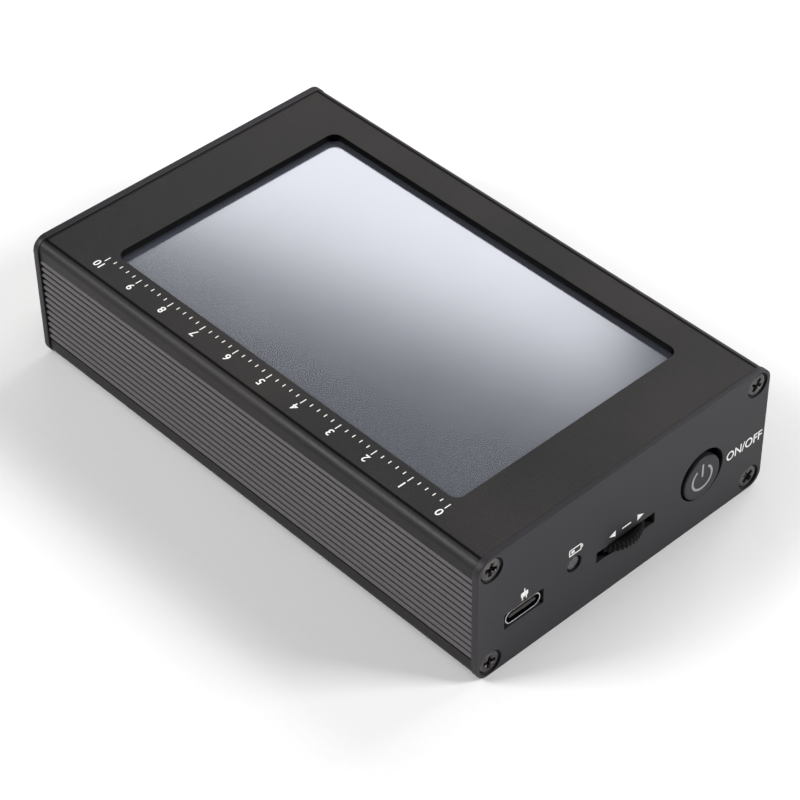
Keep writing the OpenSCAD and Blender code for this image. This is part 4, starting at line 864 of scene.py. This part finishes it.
def build_socket():
    """Socket: a stadium-shaped drawn shell with a rolled lip, a tongue, and the block it stands in.

    The shell's sheet is t thick, its lip is rolled by q.
    """
    low, high = span("usb_shell")
    centre = middle_yz(low, high)
    w, h = high[1] - low[1], high[2] - low[2]
    t, q = 0.3, 0.05
    fit = 2 * t + 0.04
    tongue_length, tongue_width, tongue_height = 4.5, 6.7, 0.7
    lip = [(low[0] + q, 0), (low[0] + 0.3 * q, 0.3 * q), (low[0], q), (low[0], t - q),
           (low[0] + 0.3 * q, t - 0.3 * q), (low[0] + q, t)]
    rows = [(high[0], 0.0)] + lip + [(high[0], t)]
    levels, insets = np.array(rows).T
    shell = wall(0, centre, w, h, h / 2, levels, insets, 64)
    make_piece("socket_shell", [patch(shell, wrap_rows=True, wrap_columns=True)], "case", "socket_steel",
               ["usb_shell"])
    tlow, thigh = span("usb_tongue")
    root = tlow[0] + tongue_length
    parts = soft_block(0, centre, tongue_width, tongue_height, 0.2, tlow[0], root + 0.2, 0.12, 0.02, 32)
    parts += soft_block(0, centre, w - fit, h - fit, h / 2, root, thigh[0], 0.05, 0.05, 64)
    make_piece("socket_tongue", parts, "case", "black_plastic", ["usb_tongue"])


def build_lamp():
    """Charge lamp: a flat-nosed epoxy body with a rounded rim and its flange, turned about X."""
    low, high = span("charge_led")
    front, back = low[0], high[0]
    r, nose, flange, soft = 1.56, 0.3, 1.95, 0.05
    a = np.linspace(0, pi / 2, 6)
    shoulder = np.stack([front + nose * (1 - np.cos(a)), r - nose + nose * np.sin(a)], -1)
    foot = [(back - 1, r), (back - 1 + soft, flange - soft), (back - 1 + 2 * soft, flange),
            (back - soft, flange), (back, flange - soft), (back, 0)]
    profile = np.concatenate([[(front, 0), (front, 0.6)], shoulder, foot])
    make_piece("charge_lamp", [turned(0, middle_yz(low, high), profile, 48)], "case", "lamp_lens",
               ["charge_led"])


# Coaxial jacks

def build_jacks():
    """Jacks: threaded barrel by a helix formula, chamfered hexagon nut, washer, flange and legs.

    The thread's radius falls with a triangle wave of (distance / pitch - angle / turn); the nut's
    radius is the hexagon's, cut by a cone at both faces. Nose and tail are rows of level and radius.
    The thread is 1/4 inch across; the eye is the nut's and the washer's hole; four legs grip the board.
    """
    jacks = sizes()[2]
    tip = span("jack_bodies")[1][0]
    nut_low, nut_high = span("jack_nuts")
    washer_low, washer_high = span("jack_washers")
    z = (washer_low[2] + washer_high[2]) / 2
    board_low, board_top = span("main_board")[0][2], span("main_board")[1][2]
    n = 72
    a = np.linspace(0, 2 * pi, n, endpoint=False)
    circle = np.stack([np.cos(a), np.sin(a)], -1)
    crest, depth, pitch = 3.175, mm(jacks.depth), mm(jacks.pitch)
    bore, neck, eye = 2.07, 2.875, 3.25
    flange, flange_t = 6.35, 1.8
    leg_width, leg_height, leg_end, leg_step = 1.2, 0.8, 5.8, 2.4
    nut_flat, nut_edge = 4.0, 4.02
    seat, plate = nut_high[0], span("connector_end_plate")[0][0]
    back = plate - flange_t
    run = np.arange(seat + 0.75, tip - 0.3, pitch / 8)
    wave = 1 - np.abs(2 * ((run[:, None] / pitch - a / (2 * pi)) % 1) - 1)
    thread = crest - depth * np.clip(wave * 1.3 - 0.1, 0, 1)
    nose = np.array([(tip - 1.9, bore), (tip - 0.12, bore), (tip, bore + 0.12), (tip, 2.7),
                     (tip - 0.18, 2.86)])
    tail = np.array([(seat + 0.62, neck), (seat + 0.58, neck), (seat + 0.02, neck), (seat, 2.95),
                     (seat, crest), (back + 0.2, crest), (back + 0.2, bore)])
    levels = np.concatenate([nose[:, 0], run[::-1], tail[:, 0]])
    round_rows = [np.repeat(rows[:, 1:], n, axis=1) for rows in (nose, tail)]
    radius = np.concatenate([round_rows[0], thread[::-1], round_rows[1]])
    barrel = radius[..., None] * circle
    hexagon = nut_flat / np.cos((a + pi / 6) % (pi / 3) - pi / 6)
    x0, x1 = nut_low[0], nut_high[0]
    nut_x = np.concatenate([[x0], x0 + (x1 - x0) * np.linspace(0, 1, 9), [x1]])
    cone = nut_edge + 1.6 * np.minimum(nut_x - x0, x1 - nut_x)
    nut_r = np.minimum(hexagon[None], cone[:, None])
    nut_r[[0, -1]] = eye
    nut = nut_r[..., None] * circle
    x0, x1 = washer_low[0], washer_high[0]
    ring = [(x0, eye), (x0, WASHER_R - 0.05), (x0 + 0.05, WASHER_R), (x1 - 0.08, WASHER_R),
            (x1, WASHER_R - 0.08), (x1, eye + 0.05), (x1 - 0.05, eye)]
    bodies, nuts, washers = [], [], []
    for y in (-(washer_high[1] - WASHER_R), washer_high[1] - WASHER_R):
        bodies.append(patch(lay(0, levels, barrel, (y, z)), wrap_rows=True, wrap_columns=True))
        square = wall(0, (y, z), flange, flange, 0.3, *soft_rows(back, plate, 0.1, 0.02))
        hole = wall(0, (y, z), 2 * bore, 2 * bore, bore, [back, plate], [0, 0])
        bodies += [patch(square, wrap_columns=True), patch(hole, wrap_columns=True),
                   flat_fill([square[0], hole[0]]), flat_fill([square[-1], hole[1]])]
        for s in (-leg_step, leg_step):
            for foot in (board_top + 0.42, board_low - 0.42):
                bodies += soft_block(0, (y + s, foot), leg_width, leg_height, 0.15, plate - leg_end,
                                     back + 0.1, 0.1, 0.02, 16)
        nuts.append(patch(lay(0, nut_x, nut, (y, z)), wrap_rows=True, wrap_columns=True))
        washers.append(turned(0, (y, z), ring, 64, closed=True))
    make_piece("jack_barrels", bodies, "case", "gold", ["jack_bodies"], sharp=35)
    make_piece("jack_hex_nuts", nuts, "case", "gold", ["jack_nuts"], sharp=25)
    make_piece("jack_lock_washers", washers, "case", "gold", ["jack_washers"])


# Printed marks

def lettering(text, height, bold=0.01):
    """Flat mesh of text whose capitals are height millimetres tall, centred on its own width."""
    curve = bpy.data.curves.new(text, "FONT")
    curve.body = text
    curve.align_x = "CENTER"
    curve.size = height / CAPITAL_SHARE
    curve.extrude = TEXT_THICKNESS / 2
    curve.offset = bold * curve.size
    curve.resolution_u = 4
    holder = bpy.data.objects.new(text, curve)
    bpy.context.scene.collection.objects.link(holder)
    bpy.context.view_layer.update()
    mesh = bpy.data.meshes.new_from_object(holder.evaluated_get(bpy.context.evaluated_depsgraph_get()))
    bpy.data.objects.remove(holder)
    return mesh


def placed(mesh, right, up, origin, ink, width=None):
    """Carries a text mesh's points to origin + x right + y up, and squeezes its thickness to the ink.

    A given width stretches the text across to it.
    """
    co = np.empty(len(mesh.vertices) * 3)
    mesh.vertices.foreach_get("co", co)
    co = co.reshape(-1, 3)
    if width:
        co[:, 0] = (co[:, 0] - (co[:, 0].min() + co[:, 0].max()) / 2) * width / np.ptp(co[:, 0])
    raised = (co[:, 2:] / TEXT_THICKNESS + 0.5) * ink
    co = np.asarray(origin) + co[:, :1] * right + co[:, 1:2] * up + raised * np.cross(right, up)
    mesh.vertices.foreach_set("co", (co * MM).ravel())
    mesh.update()
    return mesh


def box_loop(u0, u1, v0, v1, r=0.0):
    """Rectangle between two corners, its corners rounded by r."""
    return rounded_loop(u1 - u0, v1 - v0, max(r, 0.01), 16) + [(u0 + u1) / 2, (v0 + v1) / 2]


def build_prints():
    """Printed marks: ON/OFF, small signs at the lamp, wheel and socket, and a numbered scale.

    Battery, arrows, dash and plug are drawn as rectangles and triangles about their control's axis.
    """
    case, controls = sizes()[:2]
    ink = mm(controls.ink)
    face = span("control_end_plate")[0][0]
    x_axis, y_axis, z_axis = np.eye(3)
    word_width, word_y, word_drop = 10.0, -32.4, 0.6
    origin = (face, word_y, middle_yz(*span("power_button"))[1] - word_drop)
    mesh = placed(lettering("ON/OFF", mm(controls.letter_height)), -y_axis, z_axis, origin, ink, word_width)
    finish_piece("on_off_lettering", mesh, "case", "ink")

    y, z = middle_yz(*span("charge_led"))
    v = z + 2.6
    battery = [[box_loop(y - 1.7, y + 1.5, v, v + 1.7, 0.2),
                box_loop(y - 1.42, y + 1.22, v + 0.28, v + 1.42)],
               [box_loop(y - 2.05, y - 1.8, v + 0.5, v + 1.2)],
               [box_loop(y + 0.1, y + 0.9, v + 0.52, v + 1.18)]]
    top = span("thumb_wheel")[1][2] + 1.35
    arrows = [[np.array([[s * 4.6, top + 0.75], [s * 2.9, top + 1.5], [s * 2.9, top]])] for s in (-1, 1)]
    arrows.append([box_loop(-1.2, 1.2, top + 0.6, top + 0.9)])
    usb_low, usb_high = span("usb_shell")
    y, v = (usb_low[1] + usb_high[1]) / 2, usb_high[2] + 1.0
    plug = [[box_loop(y - 0.9, y + 0.9, v + 0.7, v + 1.9, 0.3)],
            [box_loop(y - 0.14, y + 0.14, v + 1.95, v + 2.7)],
            [box_loop(y - 0.62, y - 0.36, v, v + 0.65)], [box_loop(y + 0.36, y + 0.62, v, v + 0.65)]]
    parts = stamp(0, face, -ink, battery + arrows + plug)
    make_piece("control_signs", parts, "case", "ink")

    low, high = span("case_tube")
    steps, every, half_tick = 50, 5, 0.1
    long_tick, short_tick, figure_gap = 1.5, 0.8, 2.0
    y0 = mm(case.window_width) / 2 + 1.5
    at = np.linspace(-0.5, 0.5, steps + 1) * mm(case.window_length) + (low[0] + high[0]) / 2
    reach = [short_tick if i % every else long_tick for i in range(steps + 1)]
    ticks = [[box_loop(x - half_tick, x + half_tick, y0, y0 + d)] for x, d in zip(at, reach)]
    make_piece("scale_ticks", stamp(2, high[2], ink, ticks), "case", "ink")
    for i, x in enumerate(at[::every]):
        figure = lettering(str(i), mm(controls.scale_letter))
        mesh = placed(figure, x_axis, y_axis, (x, y0 + figure_gap, high[2]), ink)
        finish_piece(f"scale_figure_{i}", mesh, "case", "ink")


def build_frame_finishes():
    """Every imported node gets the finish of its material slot."""
    slots = {part["node"]: part["material_slot"] for part in frame["record"]["subparts"]}
    for name, holder in frame["nodes"].items():
        holder.data.materials.clear()
        holder.data.materials.append(finish(slots[name]))


# Stage

def soft_light(name, place, target, size, power, height):
    """Area lamp at a place, facing a target; square where no height is given."""
    lamp = bpy.data.lights.new(name, "AREA")
    lamp.shape, lamp.size, lamp.size_y, lamp.energy = "RECTANGLE", size, height or size, power
    holder = bpy.data.objects.new(name, lamp)
    holder.location = place
    holder.rotation_euler = (Vector(target) - Vector(place)).to_track_quat("-Z", "Y").to_euler()
    bpy.context.scene.collection.objects.link(holder)


def build_stage():
    """Camera at the photograph's angle, a pale floor, and soft studio light."""
    scene = bpy.context.scene
    camera = bpy.data.cameras.new("camera")
    camera.lens, camera.sensor_width, camera.clip_start = CAMERA_LENS, SENSOR_WIDTH, NEAREST_SEEN
    holder = bpy.data.objects.new("camera", camera)
    holder.location = CAMERA_PLACE
    holder.rotation_euler = Euler([radians(angle) for angle in CAMERA_TURN])
    scene.collection.objects.link(holder)
    scene.camera = holder
    scene.view_settings.view_transform = "Standard"

    floor = bpy.data.meshes.new("floor")
    far = FLOOR_REACH
    floor.from_pydata([(-far, -far, 0), (far, -far, 0), (far, far, 0), (-far, far, 0)], [], [(0, 1, 2, 3)])
    ground = bpy.data.objects.new("floor", floor)
    scene.collection.objects.link(ground)
    # Uncoated paper: matt and nearly white, its fibres faintly clumped
    paper = bpy.data.materials.new("Pale studio paper")
    paper.use_nodes = True
    shader = paper.node_tree.nodes["Principled BSDF"]
    place = add(paper.node_tree, "ShaderNodeTexCoord").outputs["Object"]
    grain = add(paper.node_tree, "ShaderNodeTexNoise", None,
                {"Vector": place, "Scale": 1 / (PAPER_CLUMPS * MM)})
    pale, paler = ((*linear(code), 1) for code in PAPER_TONES)
    tone = add(paper.node_tree, "ShaderNodeMix", {"data_type": "RGBA"},
               {"Factor": grain.outputs[0], COLOUR_A: pale, COLOUR_B: paler})
    paper.node_tree.links.new(tone.outputs[COLOUR_OUT], shader.inputs["Base Color"])
    shader.inputs["Roughness"].default_value = 0.9
    shader.inputs["Specular IOR Level"].default_value = 0.1
    floor.materials.append(paper)

    world = bpy.data.worlds.new("studio")
    world.use_nodes = True
    background = world.node_tree.nodes["Background"].inputs
    background["Color"].default_value = (1, 1, 1, 1)
    background["Strength"].default_value = WORLD_STRENGTH
    scene.world = world
    for lamp in LAMPS:
        soft_light(*lamp)


class ANALYZER_OT_stage(bpy.types.Operator):
    """Makes the camera at the photograph's angle, the pale floor and the soft light."""
    bl_idname = "analyzer.stage"
    bl_label = "Stage"

    def execute(self, context):
        build_stage()
        return {"FINISHED"}


class ANALYZER_OT_finishes(bpy.types.Operator):
    """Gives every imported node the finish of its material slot."""
    bl_idname = "analyzer.finishes"
    bl_label = "Finishes of the packed nodes"

    def execute(self, context):
        build_frame_finishes()
        return {"FINISHED"}


class ANALYZER_OT_tube(bpy.types.Operator):
    """Makes the extruded tube with its ribs, window and hollow."""
    bl_idname = "analyzer.tube"
    bl_label = "Ribbed tube"

    def execute(self, context):
        build_tube()
        return {"FINISHED"}


class ANALYZER_OT_plates(bpy.types.Operator):
    """Makes the control plate and the connector plate."""
    bl_idname = "analyzer.plates"
    bl_label = "End plates"

    def execute(self, context):
        build_plates()
        return {"FINISHED"}


class ANALYZER_OT_screws(bpy.types.Operator):
    """Makes the eight countersunk cross-head screws."""
    bl_idname = "analyzer.screws"
    bl_label = "End plate screws"

    def execute(self, context):
        build_screws()
        return {"FINISHED"}


class ANALYZER_OT_screen(bpy.types.Operator):
    """Makes the touch panel under the window."""
    bl_idname = "analyzer.screen"
    bl_label = "Touch panel"

    def execute(self, context):
        build_screen()
        return {"FINISHED"}


class ANALYZER_OT_wheel(bpy.types.Operator):
    """Makes the knurled thumbwheel."""
    bl_idname = "analyzer.wheel"
    bl_label = "Thumbwheel"

    def execute(self, context):
        build_wheel()
        return {"FINISHED"}


class ANALYZER_OT_cap(bpy.types.Operator):
    """Makes the power cap and the sign on it."""
    bl_idname = "analyzer.cap"
    bl_label = "Power cap"

    def execute(self, context):
        build_power_cap()
        return {"FINISHED"}


class ANALYZER_OT_socket(bpy.types.Operator):
    """Makes the shell and the tongue of the charge socket."""
    bl_idname = "analyzer.socket"
    bl_label = "Charge socket"

    def execute(self, context):
        build_socket()
        return {"FINISHED"}


class ANALYZER_OT_lamp(bpy.types.Operator):
    """Makes the charge lamp."""
    bl_idname = "analyzer.lamp"
    bl_label = "Charge lamp"

    def execute(self, context):
        build_lamp()
        return {"FINISHED"}


class ANALYZER_OT_jacks(bpy.types.Operator):
    """Makes the threaded jacks, their nuts and washers."""
    bl_idname = "analyzer.jacks"
    bl_label = "Coaxial jacks"

    def execute(self, context):
        build_jacks()
        return {"FINISHED"}


class ANALYZER_OT_prints(bpy.types.Operator):
    """Makes the printed lettering, signs and scale."""
    bl_idname = "analyzer.prints"
    bl_label = "Printed marks"

    def execute(self, context):
        build_prints()
        return {"FINISHED"}


OPERATORS = (
    ANALYZER_OT_stage,
    ANALYZER_OT_finishes,
    ANALYZER_OT_tube,
    ANALYZER_OT_plates,
    ANALYZER_OT_screws,
    ANALYZER_OT_screen,
    ANALYZER_OT_wheel,
    ANALYZER_OT_cap,
    ANALYZER_OT_socket,
    ANALYZER_OT_lamp,
    ANALYZER_OT_jacks,
    ANALYZER_OT_prints,
)


class ANALYZER_PT_sidebar(bpy.types.Panel):
    """Sizes, colours and build steps of the analyzer, in the 3D view's sidebar."""
    bl_idname = "ANALYZER_PT_sidebar"
    bl_label = "Handheld spectrum analyzer"
    bl_space_type = "VIEW_3D"
    bl_region_type = "UI"
    bl_category = "Analyzer"

    def draw(self, context):
        for group in sizes():
            box = self.layout.box()
            for key in group.__annotations__:
                box.prop(group, key)
        for step in OPERATORS:
            self.layout.operator(step.bl_idname)


GROUPS = {
    "analyzer_case": AnalyzerCaseSizes,
    "analyzer_controls": AnalyzerControlSizes,
    "analyzer_jacks": AnalyzerJackSizes,
    "analyzer_colours": AnalyzerColours,
}


def register():
    """Registers the property groups, operators and panel."""
    for name, group in GROUPS.items():
        bpy.utils.register_class(group)
        setattr(bpy.types.Scene, name, PointerProperty(type=group))
    for step in OPERATORS:
        bpy.utils.register_class(step)
    bpy.utils.register_class(ANALYZER_PT_sidebar)


def unregister():
    """Takes the panel, operators and property groups out again."""
    bpy.utils.unregister_class(ANALYZER_PT_sidebar)
    for step in reversed(OPERATORS):
        bpy.utils.unregister_class(step)
    for name, group in reversed(GROUPS.items()):
        delattr(bpy.types.Scene, name)
        bpy.utils.unregister_class(group)


def main():
    """Builds the whole instrument."""
    register()
    bpy.ops.analyzer.stage()
    bpy.ops.analyzer.finishes()
    bpy.ops.analyzer.tube()
    bpy.ops.analyzer.plates()
    bpy.ops.analyzer.screws()
    bpy.ops.analyzer.screen()
    bpy.ops.analyzer.wheel()
    bpy.ops.analyzer.cap()
    bpy.ops.analyzer.socket()
    bpy.ops.analyzer.lamp()
    bpy.ops.analyzer.jacks()
    bpy.ops.analyzer.prints()


if __name__ == "__main__":
    main()
